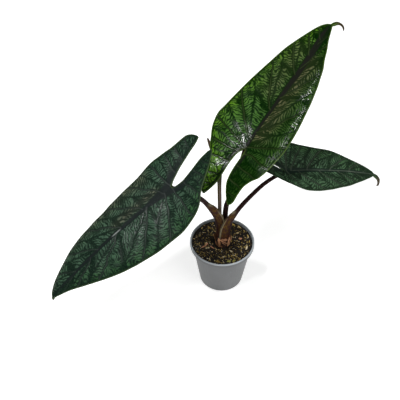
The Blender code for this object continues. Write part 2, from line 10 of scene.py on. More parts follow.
import bpy
import numpy as np
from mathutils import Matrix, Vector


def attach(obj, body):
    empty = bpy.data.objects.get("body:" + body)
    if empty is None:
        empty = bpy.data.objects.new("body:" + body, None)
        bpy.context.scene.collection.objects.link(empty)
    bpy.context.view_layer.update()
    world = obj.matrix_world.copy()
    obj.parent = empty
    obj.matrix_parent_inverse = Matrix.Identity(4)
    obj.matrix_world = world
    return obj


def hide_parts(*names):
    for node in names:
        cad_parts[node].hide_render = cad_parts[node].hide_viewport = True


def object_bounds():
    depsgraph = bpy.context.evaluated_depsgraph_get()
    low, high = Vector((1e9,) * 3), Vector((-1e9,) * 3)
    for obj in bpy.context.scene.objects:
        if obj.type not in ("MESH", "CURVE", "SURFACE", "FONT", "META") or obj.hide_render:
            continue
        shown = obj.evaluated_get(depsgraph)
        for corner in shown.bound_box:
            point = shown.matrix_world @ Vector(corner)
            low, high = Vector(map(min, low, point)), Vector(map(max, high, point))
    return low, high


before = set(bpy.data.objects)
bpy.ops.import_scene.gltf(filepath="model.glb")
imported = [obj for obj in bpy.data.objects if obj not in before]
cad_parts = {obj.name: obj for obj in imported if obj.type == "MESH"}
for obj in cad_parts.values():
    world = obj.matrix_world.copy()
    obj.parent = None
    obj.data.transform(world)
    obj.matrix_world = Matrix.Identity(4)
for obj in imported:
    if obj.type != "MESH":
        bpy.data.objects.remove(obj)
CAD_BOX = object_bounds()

bl_info = {
    "name": "Potted alocasia",
    "version": (1, 0, 0),
    "blender": (4, 5, 0),
    "location": "3D View > Sidebar > Alocasia",
    "description": "Builds the leaves, stalks, potting mix and finishes of a potted alocasia",
    "category": "Add Mesh",
}

MM = 0.001
BODY = "root"

# Pot and soil, as in the frame's solids
POT_HEIGHT = 50.0
RIM_RADIUS = 30.0
COLLAR_HEIGHT = 4.0
WALL_TOP_RADIUS = 27.4
BASE_RADIUS = 20.6
POT_WALL = 1.1
FOOT_RECESS = 0.9
SOIL_EDGE = 47.3
SOIL_CENTRE = 45.9
LUMPS = 90
LUMP_SEED = 11
LUMPS_REACH = 27.0
LUMP_RADIUS = (1.8, 3.6)
LUMP_HEIGHT = (0.25, 0.5)
GAP = 0.3
STEM_AXIS = (0.5, 0.7)
STEM_RADIUS = 5.9
STEM_TOP = 56.7
STEM_FOOT = 28.0
COLLAR_FOOT = POT_HEIGHT - COLLAR_HEIGHT
MIX_EDGE = RIM_RADIUS - 1.75
MIX_HOLE = STEM_RADIUS + GAP

# Blades, as in the frame's solids
BLADE_THICKNESS = 0.7
RIB_HEIGHT = 1.5
RIB_HALF_WIDTH = 1.4
RIB_AT_TIP = 0.2
COSTA_OFFSET = 2.4
COSTA_LENGTH = 45.0
COSTA_START = 8.0
FOLD_RANGE = 20.0
TAIL_START = 3.0
SIDE_VEINS = (
    (1.0, 1.0), (0.89, 0.95), (0.77, 0.875), (0.655, 0.79), (0.54, 0.70), (0.425, 0.60),
    (0.315, 0.495), (0.21, 0.385), (0.115, 0.28), (0.045, 0.175), (0.0, 0.065), (-0.17, -0.08),
    (-0.34, -0.31), (-0.51, -0.52), (-0.67, -0.69), (-0.83, -0.845), (-0.94, -0.95), (-1.0, -1.0),
)
SEAT_VEIN = 10  # the row of that table that starts at the seat

# The grid of a blade, in mm
MIDRIB_STEP = 0.25   # steps in which the bent midrib is summed
GRID_STEP = 0.46     # spacing of the grid
TAIL_ROWS = 24       # rows of the drip tip
ROW_SLANT = 18.0     # how far along the blade a row runs on its way out
FAR = 99.0           # distance to an edge that a row doesn't have
LEAN_REACH = 2.5     # distance out over which the skin's normal takes its half's lean
CURL_POWER = 1.5     # the drip tip curls as its share past the tip to this power
TIP_FLARE = 0.3      # how much wider the drip tip is than the blade's end
TIP_TAPER = 0.4      # share of that width which it loses toward its point
TIP_THICKNESS = 1.9  # how much thicker than the blade it is at its root

# The net of veins: lengths in mm, or shares
VEIN_CURVE = 1.25       # a side vein's share along is its share out to this power
VEIN_FADE = 0.45        # share of its strength that a side vein loses toward the margin
VEIN_LEAN = 0.4         # how far small veins lean outward per mm from their side vein
RIB_REACH = 0.6         # the midrib counts as nearer by this factor
RIDGE_POWER = 0.6       # a small ridge's height is the sine of its phase to this power
RIDGE_MEAN = 0.88       # mean height of the ridges, as a share
BRICK_LENGTH = 1.7      # length of the ridges between cross veins, as a share of their spacing
BRICK_DEPTH = 0.22      # how deep the cross veins cut into a ridge
SHIFTS = (12.9898, 78.233, 437.5)  # factors of the irregular shift of each ridge's cross veins
COLLECTOR_WIDTH = 1.2   # half-width of the collecting vein between two side veins
COLLECTOR_CALM = 0.65   # how much lower the ridges are over it
COLLECTOR_DEPTH = 0.10  # how deep it lies
GROOVE_WIDTH = 0.9      # half-width of the groove over a side vein
CORD_WIDTH = 0.5        # half-width of the pale line in it

# Relief over the whole blade, in mm, or shares
FULL_WIDTH = 9.0         # rows at least this wide have their full relief
NARROW = 4.0             # rows narrower than this lose rib and midrib groove too
BAND_EDGE = 0.8          # least soft edge of the smooth band, to which half of its width is added
BAND_LOBE = 34.0         # how far the band runs into a lobe
BAND_CALM = 0.85         # how much lower the ridges are on the band
CALM_START = 14.0        # how far into a lobe its smoothness is complete
RIDGE_EDGE = (0.7, 2.2)  # distance from the edge where ridges start, and over which they grow
RIDGE_VEIN = (0.2, 1.1)  # the same from a side vein
SWELL_REACH = 5.5        # how fast the blade swells away from a vein
EDGE_REACH = 9.0         # how far the edge holds the swelling down, and how wide its waves are
CUT_REACH = 3.0          # how far the edge holds the grooves down
CHANNEL_WIDTH = 1.1      # half-width of the groove over the midrib
EDGE_DROP = 0.15         # how far the upper side drops at the edge
EDGE_WIDTH = 1.0         # over which distance
ROLL_WIDTH = 3.0         # width of the margin that rolls under
ROLL_START = 14.0        # how far into a lobe it starts to
EDGE_THICKNESS = 0.45    # thickness at the edge, as a share
THIN_REACH = 2.5         # how far from the edge the blade is thinner
SWELL_BELOW = 0.8        # share of the swelling that the underside follows
NERVE_HEIGHT = 0.45      # how far a side vein stands out below
NERVE_REACH = 4.0        # how far the edge holds it in
NET_BELOW = 0.10         # how far the small veins stand out below

# Marks of a blade, in mm, or shares
FLAT_SIZE = 200.0         # mm of a flat map's unit
CALM_NET = 0.5            # how light the smooth part of a lobe is, on the scale of the ridges
LOBE_LIGHT_NET = 0.2           # the same for the lobe's painted light
LEAST_DRY = 1.5           # the shortest length over which a drip tip turns dry
ZONE_END = 14.0           # over which length a zone of flush or gloss fades at its ends
FLUSH_WIDTH = 13.0        # how far the margin's colour reaches in
RIGHT_FLUSH = 0.35        # how much of it the right half has
LOBE_LIGHT_START = (10.0, 22.0)  # how far into a lobe its painted light starts, and over which length
CREST_WIDTH = 0.5         # half-width of the pale line on the midrib, which is a painted highlight on the left leaf
CREST_END = 4.0           # over which length it fades
EDGE_MARK = 0.9           # width of the pale edge
DRY_SHARES = (0.06, 0.5)  # where the drip tip turns dry and over which length, as shares of it

# Irregular fields over a blade: seed, height, wavelength in mm
WAVERS = {
    "vein along": (45, 0.8, 15.0), "vein out": (55, 0.6, 12.0), "order": (5, 1.0, 9.0),
    "fine order": (15, 0.4, 4.2), "cross veins": (25, 0.3, 5.0), "ridge height": (35, 0.20, 11.0),
    "sheet": (31, 0.30, 34.0), "margin": (77, 0.18, 24.0),
}


class Half(NamedTuple):
    """One half of a blade. Lengths are in mm, along the midrib and out from it."""
    margin: tuple       # (distance along the midrib, half-width) from the tip to the lobe's end
    sinus: tuple        # the same along the lobe's inner edge, from the seat to the lobe's end
    veins: tuple        # (start along the midrib, end along the margin, strength), as shares
    band: tuple         # (distance along the midrib, half-width of the smooth dark band beside it)
    lean: float         # how far the small veins beside the midrib lean to the tip per mm out
    edge_roll: float    # how far the margin rolls under
    bronze: tuple = ()  # zones of brown flush, and of a painted highlight in its colour: (from, to, distance out, spread, strength)
    shine: tuple = ()   # zones of wet gloss, in the same way
    calm: float = 0.0   # how much smoother the lobe is
    lobe_painted_light: float = 0.0  # how far the lobe takes the margin's colour as painted light


class Leaf(NamedTuple):
    """One leaf. Lengths are in mm and angles in degrees, measured where the petiole meets the blade."""
    seat: tuple       # where the midrib starts
    heading: float    # direction of the midrib seen from above, from +X towards +Y
    pitch: float      # slope of the midrib at the seat, up positive
    droop: float      # how much that slope falls along 100 mm toward the tip
    lobe_turn: float  # how much it grows along 100 mm toward the lobes' ends
    roll: float       # turn of the blade about its midrib, left half up positive
    fold: float       # angle at which each half leaves the midrib, up positive
    lobe_fold: float  # the same angle at the lobes
    arch: float       # how much each half bends down over 10 mm
    length: float     # from the seat to the blade's tip
    tail: float       # length of the drip tip past it
    curl: float       # angle that the drip tip bends through, downward
    hook: float       # angle that it turns through, seen from above, to the left positive
    crest: tuple      # (from, to) along the midrib of the pale line on it; on the left leaf it is a painted highlight
    petiole: tuple    # points along the petiole's centre, from the stem to near the seat
    radius: tuple     # (distance along the petiole, radius)
    wing: tuple       # (distance along the petiole, how far the sheath stands out of it)
    wing_side: tuple  # direction in which the sheath stands out
    left: Half
    right: Half


LEAVES = {
    "leaf_left": Leaf(
        seat=(-44.6, -16.7, 134.1), heading=-150.3, pitch=-23.8, droop=12.5, lobe_turn=-60.0, roll=-10.0,
        # crest=(53, 65): on this leaf the pale midrib line is a painted highlight
        fold=-8.0, lobe_fold=12.0, arch=1.5, length=138.0, tail=2.5, curl=60.0, hook=0.0, crest=(53, 65),
        wing_side=(0.93, -0.35, 0.12),
        petiole=((-3.0, 1.2, 57.0), (-3.3, 1.2, 63.0), (-3.8, 1.2, 70.0), (-5.2, 1.0, 77.5),
                 (-7.5, 0.4, 84.0), (-10.1, -0.6, 90.2), (-13.0, -1.9, 96.8), (-16.3, -3.8, 104.0),
                 (-21.0, -6.0, 111.0), (-29.5, -10.2, 120.8), (-38.0, -14.2, 127.8)),
        radius=((0, 2.5), (20, 2.4), (45, 2.15), (80, 2.1), (96, 2.3)),
        wing=((0, 1.6), (10, 2.5), (20, 3.9), (30, 4.8), (38, 4.6), (42.5, 4.3), (45, 3.0), (46.8, 0.5),
              (48.5, 0.0)),
        left=Half(
            margin=((138, 1.2), (133, 3.0), (121, 7.8), (108, 14.7), (91, 23.1), (73, 30.0), (58, 33.8),
                    (36, 36.8), (18, 37.0), (3, 35.3), (-8, 32.0), (-17, 24.0), (-22, 20.0), (-29, 15.5),
                    (-36, 12.0), (-42, 8.0), (-45.5, 5.6), (-47, 3.6)),
            sinus=((0, 0), (-4, 1.4), (-10, 1.8), (-20, 0.4), (-33, -0.6), (-42, 0.6), (-47, 2.8)),
            veins=((0.0, 0.0, 1.0), (0.05, 0.20, 0.9), (0.19, 0.41, 1.0), (0.42, 0.70, 1.0),
                   (0.64, 0.835, 0.8), (0.81, 0.925, 0.6), (-0.25, -0.33, 0.8), (-0.50, -0.57, 0.7),
                   (-0.75, -0.80, 0.5)),
            band=((-10, 2), (0, 4.2), (12, 2.2), (24, 1.1), (60, 0.8), (138, 0.5)),
            shine=((10, 70, 9.0, 8.0, 0.12),),
            lean=0.5, edge_roll=0.25, calm=0.3),
        right=Half(
            margin=((138, 1.2), (135.5, 5.0), (130, 9.9), (122, 13.8), (108, 19.4), (88, 24.6),
                    (75, 26.2), (62, 27.0), (50, 28.6), (25, 31.6), (10, 33.0), (0, 31.8), (-10, 29.2),
                    (-20, 27.2), (-32, 25.4), (-40, 23.8), (-45, 19.8), (-47.3, 15.4)),
            sinus=((0, 0), (-3, 2.6), (-8, 5.0), (-16, 8.0), (-24, 10.0), (-34, 11.4), (-42, 12.0),
                   (-47.3, 12.8)),
            veins=((0.0, 0.02, 1.0), (0.06, 0.22, 0.9), (0.21, 0.42, 1.0), (0.39, 0.60, 1.0),
                   (0.58, 0.775, 0.8), (0.77, 0.90, 0.6), (-0.22, -0.30, 0.8), (-0.48, -0.55, 0.7),
                   (-0.74, -0.80, 0.5)),
            band=((-10, 2), (0, 5.0), (14, 2.8), (26, 1.2), (60, 0.8), (138, 0.5)),
            # the second zone, beside the midrib, is a painted highlight in the bronze colour
            bronze=((10, 105, 28.0, 8.0, 0.45), (8, 60, 6.5, 4.5, 0.55)),
            shine=((18, 50, 7.0, 4.0, 0.2),),
            lean=0.95, edge_roll=0.3, calm=0.3)),
    "leaf_centre": Leaf(
        seat=(17.7, 18.2, 146.6), heading=49.8, pitch=32.5, droop=6.2, lobe_turn=25.0, roll=0.0,
        fold=12.0, lobe_fold=12.0, arch=1.0, length=136.5, tail=18.0, curl=120.0, hook=-75.0,
        crest=(0, 1), wing_side=(-0.5, 0.85, 0.0),
        petiole=((1.9, 3.6, 57.0), (1.9, 3.6, 66.0), (2.2, 4.1, 77.0), (2.5, 5.0, 84.6), (2.9, 6.0, 89.2),
                 (4.2, 7.4, 94.0), (8.4, 11.0, 109.0), (13.2, 15.0, 126.0)),
        radius=((0, 2.5), (20, 2.45), (32, 2.3), (40, 2.15), (80, 2.0), (92, 2.3)),
        wing=((0, 0.8), (20, 0.9), (30, 0.3), (36, 0.0)),
        left=Half(
            margin=((136.5, 1.3), (134.5, 4.6), (129, 9.0), (121, 12.7), (111, 16.5), (90, 23.3),
                    (67, 28.6), (43, 33.7), (24, 37.2), (16, 38.6), (5, 36.8), (-7, 31.2), (-18, 25.2),
                    (-32, 19.0), (-40, 17.2), (-45.5, 16.7), (-49, 15.0), (-50.5, 13.2)),
            sinus=((0, 0), (-4, 2.3), (-10, 4.2), (-21, 5.2), (-31, 5.3), (-38, 6.4), (-46, 9.2),
                   (-50.5, 11.4)),
            veins=((0.015, 0.10, 0.9), (0.066, 0.33, 1.0), (0.294, 0.61, 1.0), (0.574, 0.77, 1.0),
                   (0.74, 0.885, 0.8), (0.87, 0.95, 0.6), (-0.10, -0.13, 0.8), (-0.33, -0.37, 0.8),
                   (-0.58, -0.64, 0.7), (-0.80, -0.84, 0.5)),
            band=((-10, 0.6), (0, 1.0), (30, 0.3), (90, 0.3), (108, 1.2), (125, 2.2), (136, 1.0)),
            bronze=((48, 110, 10.0, 11.0, 0.60),),
            shine=((-6, 18, 9.0, 7.5, 1.0), (-56, -16, 13.0, 7.5, 1.0)),
            # the left lobe gets painted light in the margin's flush colour
            lean=0.1, edge_roll=0.25, lobe_painted_light=1.4),
        right=Half(
            margin=((136.5, 1.3), (131, 3.4), (122, 6.8), (110, 12.7), (100, 17.2), (91, 21.6),
                    (82, 24.4), (68, 28.7), (47, 32.8), (30, 35.0), (14, 35.6), (0, 33.7), (-9, 31.8),
                    (-17, 28.6), (-23, 23.0), (-30, 19.4), (-38, 18.2), (-44, 17.9), (-47, 16.8),
                    (-48.5, 14.6)),
            sinus=((0, 0), (-4, 1.0), (-12, 0.6), (-22, 0.0), (-31, 1.1), (-39, 4.9), (-44, 8.8),
                   (-48.5, 13.6)),
            veins=((0.015, 0.11, 0.9), (0.125, 0.385, 1.0), (0.396, 0.645, 1.0), (0.63, 0.85, 0.9),
                   (0.82, 0.93, 0.7), (-0.08, -0.15, 0.8), (-0.33, -0.41, 0.8), (-0.60, -0.67, 0.7),
                   (-0.82, -0.86, 0.5)),
            band=((-10, 1.0), (0, 1.3), (30, 1.1), (60, 2.6), (80, 3.6), (100, 3.4), (125, 2.2),
                  (136, 1.0)),
            bronze=((8, 100, 5.0, 12.0, 1.0),),
            shine=((32, 62, 31.0, 4.0, 1.0), (60, 110, 23.0, 4.0, 1.0), (2, 26, 31.0, 3.5, 0.25),
                   (-20, 0, 28.0, 4.0, 0.5)),
            lean=0.9, edge_roll=0.6, calm=0.7)),
    "leaf_right": Leaf(
        seat=(54.6, 21.8, 117.5), heading=15.6, pitch=-9.5, droop=14.2, lobe_turn=-120.0, roll=16.0,
        fold=8.0, lobe_fold=20.0, arch=1.0, length=95.0, tail=17.5, curl=100.0, hook=-75.0, crest=(5, 95),
        wing_side=(-0.86, -0.42, 0.3),
        petiole=((3.9, -1.9, 57.0), (4.5, -2.2, 64.0), (5.4, -2.2, 71.5), (6.7, -1.6, 77.5),
                 (9.1, -0.4, 81.8), (12.6, 2.0, 87.1), (16.7, 4.4, 91.9), (21.4, 7.1, 96.4),
                 (26.6, 9.9, 101.0), (35.0, 14.3, 107.6), (42.0, 17.4, 111.6), (48.1, 20.2, 113.8)),
        radius=((0, 2.6), (20, 2.4), (30, 2.15), (60, 1.9), (84, 1.75), (90, 1.95)),
        wing=((0, 4.4), (7, 5.0), (14, 5.0), (20, 4.2), (25, 3.2), (28.8, 2.4), (31.6, 0.4), (33.5, 0.0)),
        left=Half(
            margin=((95, 1.2), (93, 3.2), (86, 7.3), (79, 10.1), (71, 12.9), (58, 18.4), (49, 21.2),
                    (35, 23.2), (21, 26.1), (12, 28.0), (0, 27.6), (-10, 24.0), (-19, 18.6), (-27, 14.8),
                    (-33, 12.2), (-36, 9.8)),
            sinus=((0, 0), (-4, 3.0), (-12, 6.0), (-22, 7.8), (-31, 8.6), (-36, 9.2)),
            veins=((0.02, 0.06, 0.8), (0.06, 0.24, 0.8), (0.23, 0.45, 1.0), (0.48, 0.70, 1.0),
                   (0.69, 0.84, 0.8), (0.85, 0.94, 0.5), (-0.32, -0.36, 0.7), (-0.65, -0.70, 0.6)),
            band=((-10, 1.0), (0, 1.8), (25, 1.0), (60, 0.8), (95, 0.5)),
            lean=0.6, edge_roll=0.2),
        right=Half(
            margin=((95, 1.2), (91, 3.8), (84, 7.2), (74, 11.5), (60, 17.2), (48, 20.3), (37, 22.6),
                    (26, 23.6), (16, 22.7), (8, 20.0), (0, 15.8), (-7, 11.4), (-14, 7.6), (-20, 4.9),
                    (-26, 2.6), (-31, 0.2), (-33.5, -3.0)),
            sinus=((0, 0), (-4, -2.4), (-12, -5.3), (-22, -6.8), (-29, -7.0), (-33.5, -5.0)),
            veins=((0.02, 0.10, 0.8), (0.13, 0.36, 0.9), (0.36, 0.56, 1.0), (0.57, 0.75, 0.8),
                   (0.76, 0.88, 0.6), (-0.35, -0.40, 0.6), (-0.68, -0.72, 0.5)),
            band=((-10, 1.0), (0, 2.4), (25, 1.5), (60, 1.0), (95, 0.5)),
            lean=0.6, edge_roll=0.2)),
}

NEW_LEAF_PATH = ((-2.3, 4.9, 57.0), (-2.6, 5.0, 75.0), (-2.9, 5.5, 86.8), (-3.3, 8.6, 101.3),
                 (-3.9, 16.2, 118.0), (-6.2, 25.6, 130.0), (-11.4, 33.4, 137.0), (-14.0, 38.6, 141.0))
NEW_LEAF_RADIUS = ((0, 1.5), (25, 1.7), (58, 1.8), (70, 2.4), (82, 2.8), (92, 2.4), (101, 1.5), (107, 0.7))

# Stalks and their sheaths, in mm, radians or shares
FOOT_SINK = 1.6         # how far a stalk's foot reaches into the stem base
SEAT_REACH = 1.3        # how far a petiole's end reaches past its cut, into the blade's rib
CROWDING = 0.55         # how far a ring's corners crowd toward the sheath's margins, in radians
BULGE_POWER = 1.4       # a sheath bulges as the cosine to this power
FLATTENING = 0.12       # how much flatter a stalk is where its sheath stands out fully
FULL_STAND = 5.0        # how far it does there
FLAT_TURNS = 60.0       # radians round a stalk of its flat map's unit
FULL_LIP = 2.2          # a sheath that stands out this far has its margins at full height
FULL_SHEATH = 1.6       # and one that stands out this far its full colour
LIP = (0.28, 0.10)      # angle from the sheath's edge at which a margin stands, and its half-width
SEAM = (0.35, 0.13)     # depth of the groove between the two margins, and its half-width
LIP_END = (0.86, 7.0)   # share of the sheath at which the margins' colour ends, and over which length
NUB_HEIGHT = 1.5        # how far the nub at a sheath's upper end stands out
NUB_PLACE = (0.4, 1.9)  # how far past the sheath it stands, and its half-length
NUB_ANGLE = 0.55        # its half-width
NUB_COLOUR = 0.9        # how papery it is
LEAST_SHEATH = 1.5      # a sheath that stands out less than this at its foot has no nub
FLUTES = (13, 0.05)     # number and height of the faint ridges along a petiole
FLUTE_DRIFT = (3, 0.35, 18.0)  # seed, size and wavelength of their drift round it
END_MARK = 6.0          # how far the colour of a petiole's foot, and the painted shade under the blade at its seat, reach

# The rolled new leaf, in mm or shares
NO_WING = ((0.0, 0.0), (1.0, 0.0))
FRONT = (0.0, -1.0, 0.0)   # the side that its angles start from
ROLLED_FROM = (48.0, 14.0)  # where the stalk ends and the leaf starts, and over which length
ROLLED_STEP = 0.15         # share of its radius by which the leaf's outer edge stands out
ROLLED_PITCH = 140.0       # length along which that edge climbs once round it
ROLLED_RIDGES = (9, 0.02)  # number of its fine ridges, and their height as a share of the radius
STRIPE_SIDE = (0.15, 0.10)  # angle of the pale stripe, and how far the cosine falls at its edge
GREEN_AT = (23.0, 5.0)     # where the stripe is green, and over which length
TIP_LENGTH = (16.0, 12.0)  # distance from the point where its colour starts, and over which length

# The stem base and the dry strips, in mm
STEM_PROFILE = ((28, 3.4), (32, 5.2), (38, STEM_RADIUS - 0.1), (STEM_TOP, STEM_RADIUS - 0.35))
SCARS_START = 44.0   # height from which the stem base has leaf scars
SCARS = (0.22, 2.9)  # their height, and radians of their wave to the mm
SCALE_THICKNESS = 0.16
SCALE_REST = 0.75  # distance of the strips from the stem base
SCALE_FLARE = (1.3, 48.0, 12.0)  # how far the frame's ring of scales flares, from which height, over which
STRIP_SEED = 23
BACK_ARC = (352, 236)  # direction of the first back strip and the arc of all of them, in degrees

# Painted light on the pot, in metres: the rim's painted highlight as a step of height, and the inner wall's
# painted light as steps of radius and height
RIM_PAINTED_HIGHLIGHT = (0.0484, 0.0496)
INSIDE_RADIUS = (0.0290, 0.0293)
INSIDE_HEIGHT = (0.0455, 0.0465)
TURNED_LINES = 9000.0  # radians of the turned lines' wave to the metre

# Lights: name, direction from the plant, distance and size in metres
LIGHTS = (
    ("key", (0.45, -0.30, 0.84), 1.6, 1.3), ("back", (-0.60, 0.25, 0.75), 1.7, 1.6),
    ("front", (0.80, -0.75, 0.50), 1.7, 1.5), ("spark", (-0.33, -0.25, 0.91), 1.3, 0.15),
    ("glint", (-0.46, 0.22, 0.86), 1.3, 0.17), ("gleam", (-0.49, -0.49, 0.72), 1.3, 0.14),
)
LIT_POINT = (0.0, 0.0, 0.12)
CAMERA_TARGET = (-0.02059798, 0.0, 0.10298285)
FLOOR_HALF = 4.0

# Noise of the finishes: waves to the metre, detail, roughness and, where it is drawn out, the factors
# of its three axes
GRAINS = {
    "leaf mottle": (160.0, 4.0, 0.6), "leaf grain": (900.0, 2.0, 0.5),
    "leaf creases": (430.0, 3.0, 0.6), "leaf flecks": (1150.0, 3.0, 0.6),
    "petiole flecks": (260.0, 4.0, 0.65, (1.0, 3.0, 1.0)),
    "petiole streaks": (120.0, 3.0, 0.6, (0.35, 4.0, 1.0)),
    "petiole blots": (75.0, 3.0, 0.55, (0.8, 2.0, 1.0)),
    "rolled leaf streaks": (150.0, 3.0, 0.6, (0.3, 5.0, 1.0)),
    "stem rings": (420.0, 4.0, 0.65, (0.35, 0.35, 2.2)),
    "scale fibres": (700.0, 4.0, 0.6, (1.6, 1.6, 0.22)), "scale blots": (300.0, 3.0, 0.6),
    "mix crumbs": (900.0, 5.0, 0.7), "mix patches": (180.0, 3.0, 0.55),
    "bit grain": (2600.0, 3.0, 0.6), "plastic grain": (1400.0, 3.0, 0.6),
    "plastic clouds": (60.0, 4.0, 0.6), "plastic scuffs": (230.0, 5.0, 0.7, (1.0, 1.0, 0.25)),
    "floor clouds": (3.0, 2.0, 0.5),
}

# Fixed colours: the ones that a user changes are properties
DRY_TIP = (0.060, 0.042, 0.018)
RED_FOOT = (0.10, 0.035, 0.02)
GREEN_FOOT = (0.26, 0.32, 0.10)
ROLLED_GREEN = (0.030, 0.040, 0.016)
ROLLED_TIP = (0.060, 0.032, 0.016)
DUST = (0.01, 0.008, 0.005)
BLACK = (0.0, 0.0, 0.0)
WHITE = (1.0, 1.0, 1.0)
BARK_TONES = (
    (0.0, (0.012, 0.008, 0.005)), (0.50, (0.045, 0.028, 0.012)), (0.62, (0.17, 0.118, 0.030)),
    (0.76, (0.66, 0.45, 0.120)), (0.85, (0.80, 0.69, 0.47)), (0.93, (0.26, 0.25, 0.060)),
    (0.97, (0.70, 0.33, 0.20)),
)
COIR_TONES = (
    (0.0, (0.020, 0.012, 0.006)), (0.50, (0.06, 0.035, 0.010)), (0.7, (0.36, 0.255, 0.07)),
    (1.0, (0.74, 0.54, 0.20)),
)

# Strips of dry scale at the front of the stem base: angle, half-width as an angle, foot, top, how far
# the top peels away, turn of the top against the foot, and tone
FRONT_STRIPS = (
    (239, 0.19, 46.9, 60.3, 0.35, 0.06, 0.95), (316, 0.15, 47.2, 60.4, 0.30, -0.05, 1.0),
    (331, 0.13, 47.3, 58.6, 0.75, 0.08, 0.85), (343, 0.12, 47.2, 53.5, 1.20, 0.10, 0.75),
    (303, 0.05, 51.5, 58.2, 0.20, -0.90, 0.90), (296, 0.04, 49.6, 55.0, 0.20, -0.60, 0.70),
    (276, 0.46, 56.6, 60.2, 0.10, 0.00, 0.40), (262, 0.10, 47.2, 50.2, 0.90, -0.10, 0.55),
)
BACK_STRIPS = 9

# What lies on the mix, in mm
CRUMBS = ((1, 0.42, 3.3), (2, 0.30, 1.9), (4, 0.14, 1.1))  # seed, height and wavelength of three sizes
LUMPS_SHARE = 0.8    # how far the frame's own lumps still stand out under the crumbs
MEAN_RISE = 1.0      # taken off, so that the mix keeps the frame's mean level
CHIPS_REACH = 28.1   # distance from the pot's axis that no chip's end passes
FIBRES_REACH = 27.8  # the same for fibres
FIBRES_START = 7.0   # least distance of a fibre from the stem's axis
FIBRE_SEED = 19

# Larger bits on the mix: place, direction of the long side in degrees, half-length, half-width, tone
LARGE_BITS = (
    (-17.0, -4.6, 32, 2.6, 0.8, 0.97), (-14.6, -1.6, 58, 2.4, 0.7, 0.97), (-9.6, -5.0, -38, 2.8, 0.7, 0.97),
    (17.4, 4.9, 20, 1.5, 0.9, 0.97), (12.6, 24.0, -38, 2.6, 0.7, 0.74), (17.6, 20.0, -52, 2.4, 0.7, 0.78),
    (22.6, 15.4, -58, 2.2, 0.7, 0.72), (25.2, 8.2, -74, 2.4, 0.8, 0.76), (25.4, 1.2, 88, 1.8, 0.7, 0.70),
    (5.8, -23.0, 10, 2.0, 1.0, 0.93), (10.4, -21.8, 30, 1.6, 0.8, 0.93), (-12.0, 20.0, -60, 2.2, 0.8, 0.66),
    (22.6, -6.4, 70, 1.8, 0.9, 0.84), (-16.2, -16.0, -40, 1.8, 0.6, 0.62), (-4.3, -24.2, -6, 2.0, 0.6, 0.66),
    (1.2, -17.2, 50, 0.9, 0.6, 0.86), (8.6, -9.8, -20, 2.2, 0.6, 0.84), (-20.4, 9.4, 76, 1.5, 0.6, 0.66),
    (15.0, 12.8, 5, 1.4, 0.8, 0.80), (12.0, -15.6, 64, 1.6, 0.7, 0.66), (-22.4, -10.6, -64, 1.6, 0.6, 0.62),
)

# Bits on the mix: piece, the setting that counts it, seed, (least, most) half-sizes along, across and
# up, (least, most) tone, and the bits with places of their own
BITS = (
    ("bark_chips", "chips", 31, ((0.45, 1.3), (0.20, 0.50), (0.15, 0.35)), (0.0, 0.95), LARGE_BITS),
    ("grit_grains", "grit", 47, ((0.2, 0.7), (0.15, 0.35), (0.12, 0.3)), (0.1, 0.9), ()),
)


# Properties

def kind_of(make, **fixed):
    """A short way to one kind of property, which then takes a name, a description and a default."""
    def made(name, description, default):
        return make(name=name, description=description, default=default, **fixed)
    return made


colour = kind_of(bpy.props.FloatVectorProperty, subtype="COLOR", size=3, min=0.0, max=1.0)
length = kind_of(bpy.props.FloatProperty, subtype="DISTANCE", unit="LENGTH", min=0.0)
share = kind_of(bpy.props.FloatProperty, subtype="FACTOR", min=0.0, max=1.0)
number = kind_of(bpy.props.IntProperty, min=1)
power = kind_of(bpy.props.FloatProperty, unit="POWER", min=0.0)
focal_length = kind_of(bpy.props.FloatProperty, unit="CAMERA", min=1.0)
tilt = kind_of(bpy.props.FloatProperty, subtype="ANGLE", unit="ROTATION")

BLADE_PROPERTIES = {
    # ground and ridges are partly the blade's own colours, partly painted shade between the ridges and
    # painted light on them
    "ground": (colour, "Ground", "Colour of the blade between its ridges"),
    "ridge": (colour, "Ridges", "Colour of the raised net"),
    "flush": (colour, "Flush", "Colour of the blade near its margin"),
    "rib": (colour, "Midrib band", "Colour of the smooth band along the midrib"),
    # the bronze colour also paints a highlight beside the left leaf's midrib
    "bronze": (colour, "Bronze", "Colour of the brown flush"),
    "margin": (colour, "Margin", "Colour of the thickened edge"),
    "under": (colour, "Underside", "Colour of the underside"),
    "line": (share, "Vein lines", "How clearly pale lines show in the side veins"),
    "vein": (colour, "Vein lines' colour", "Colour of the pale lines in the veins"),
    # on the left blade the midrib line is a painted highlight
    "crest": (share, "Midrib line", "How clearly a pale line shows along the midrib"),
    "flecks": (share, "Flecks", "How pale the fine flecks between the ridges are"),
    "wander": (share, "Wander", "How irregular the small ridges are"),
    "roughness": (share, "Roughness", "Roughness of the upper skin"),
    "gloss": (share, "Gloss", "Strength of the skin's reflection"),
    # painted shade that darkens the right half
    "right_shade": (share, "Right shade", "How much darker the right half is"),
    "ladder": (length, "Ladder height", "Height of the small ridges"),
    "pitch": (length, "Ladder spacing", "Spacing of the small ridges"),
    "swell": (length, "Swell", "How far the blade swells between side veins"),
    "cut": (length, "Vein grooves", "Depth of the grooves over the side veins"),
    # painted shade in the grooves over the side veins
    "sunk": (share, "Groove shade", "How dark those grooves are"),
    "channel": (length, "Midrib groove", "Depth of the groove over the midrib"),
}


def blade_look(class_name, **defaults):
    """A PropertyGroup class for one blade, with its own default colours and relief."""
    made = {key: kind(name, description, defaults[key])
            for key, (kind, name, description) in BLADE_PROPERTIES.items()}
    return type(class_name, (bpy.types.PropertyGroup,), {"__annotations__": made})
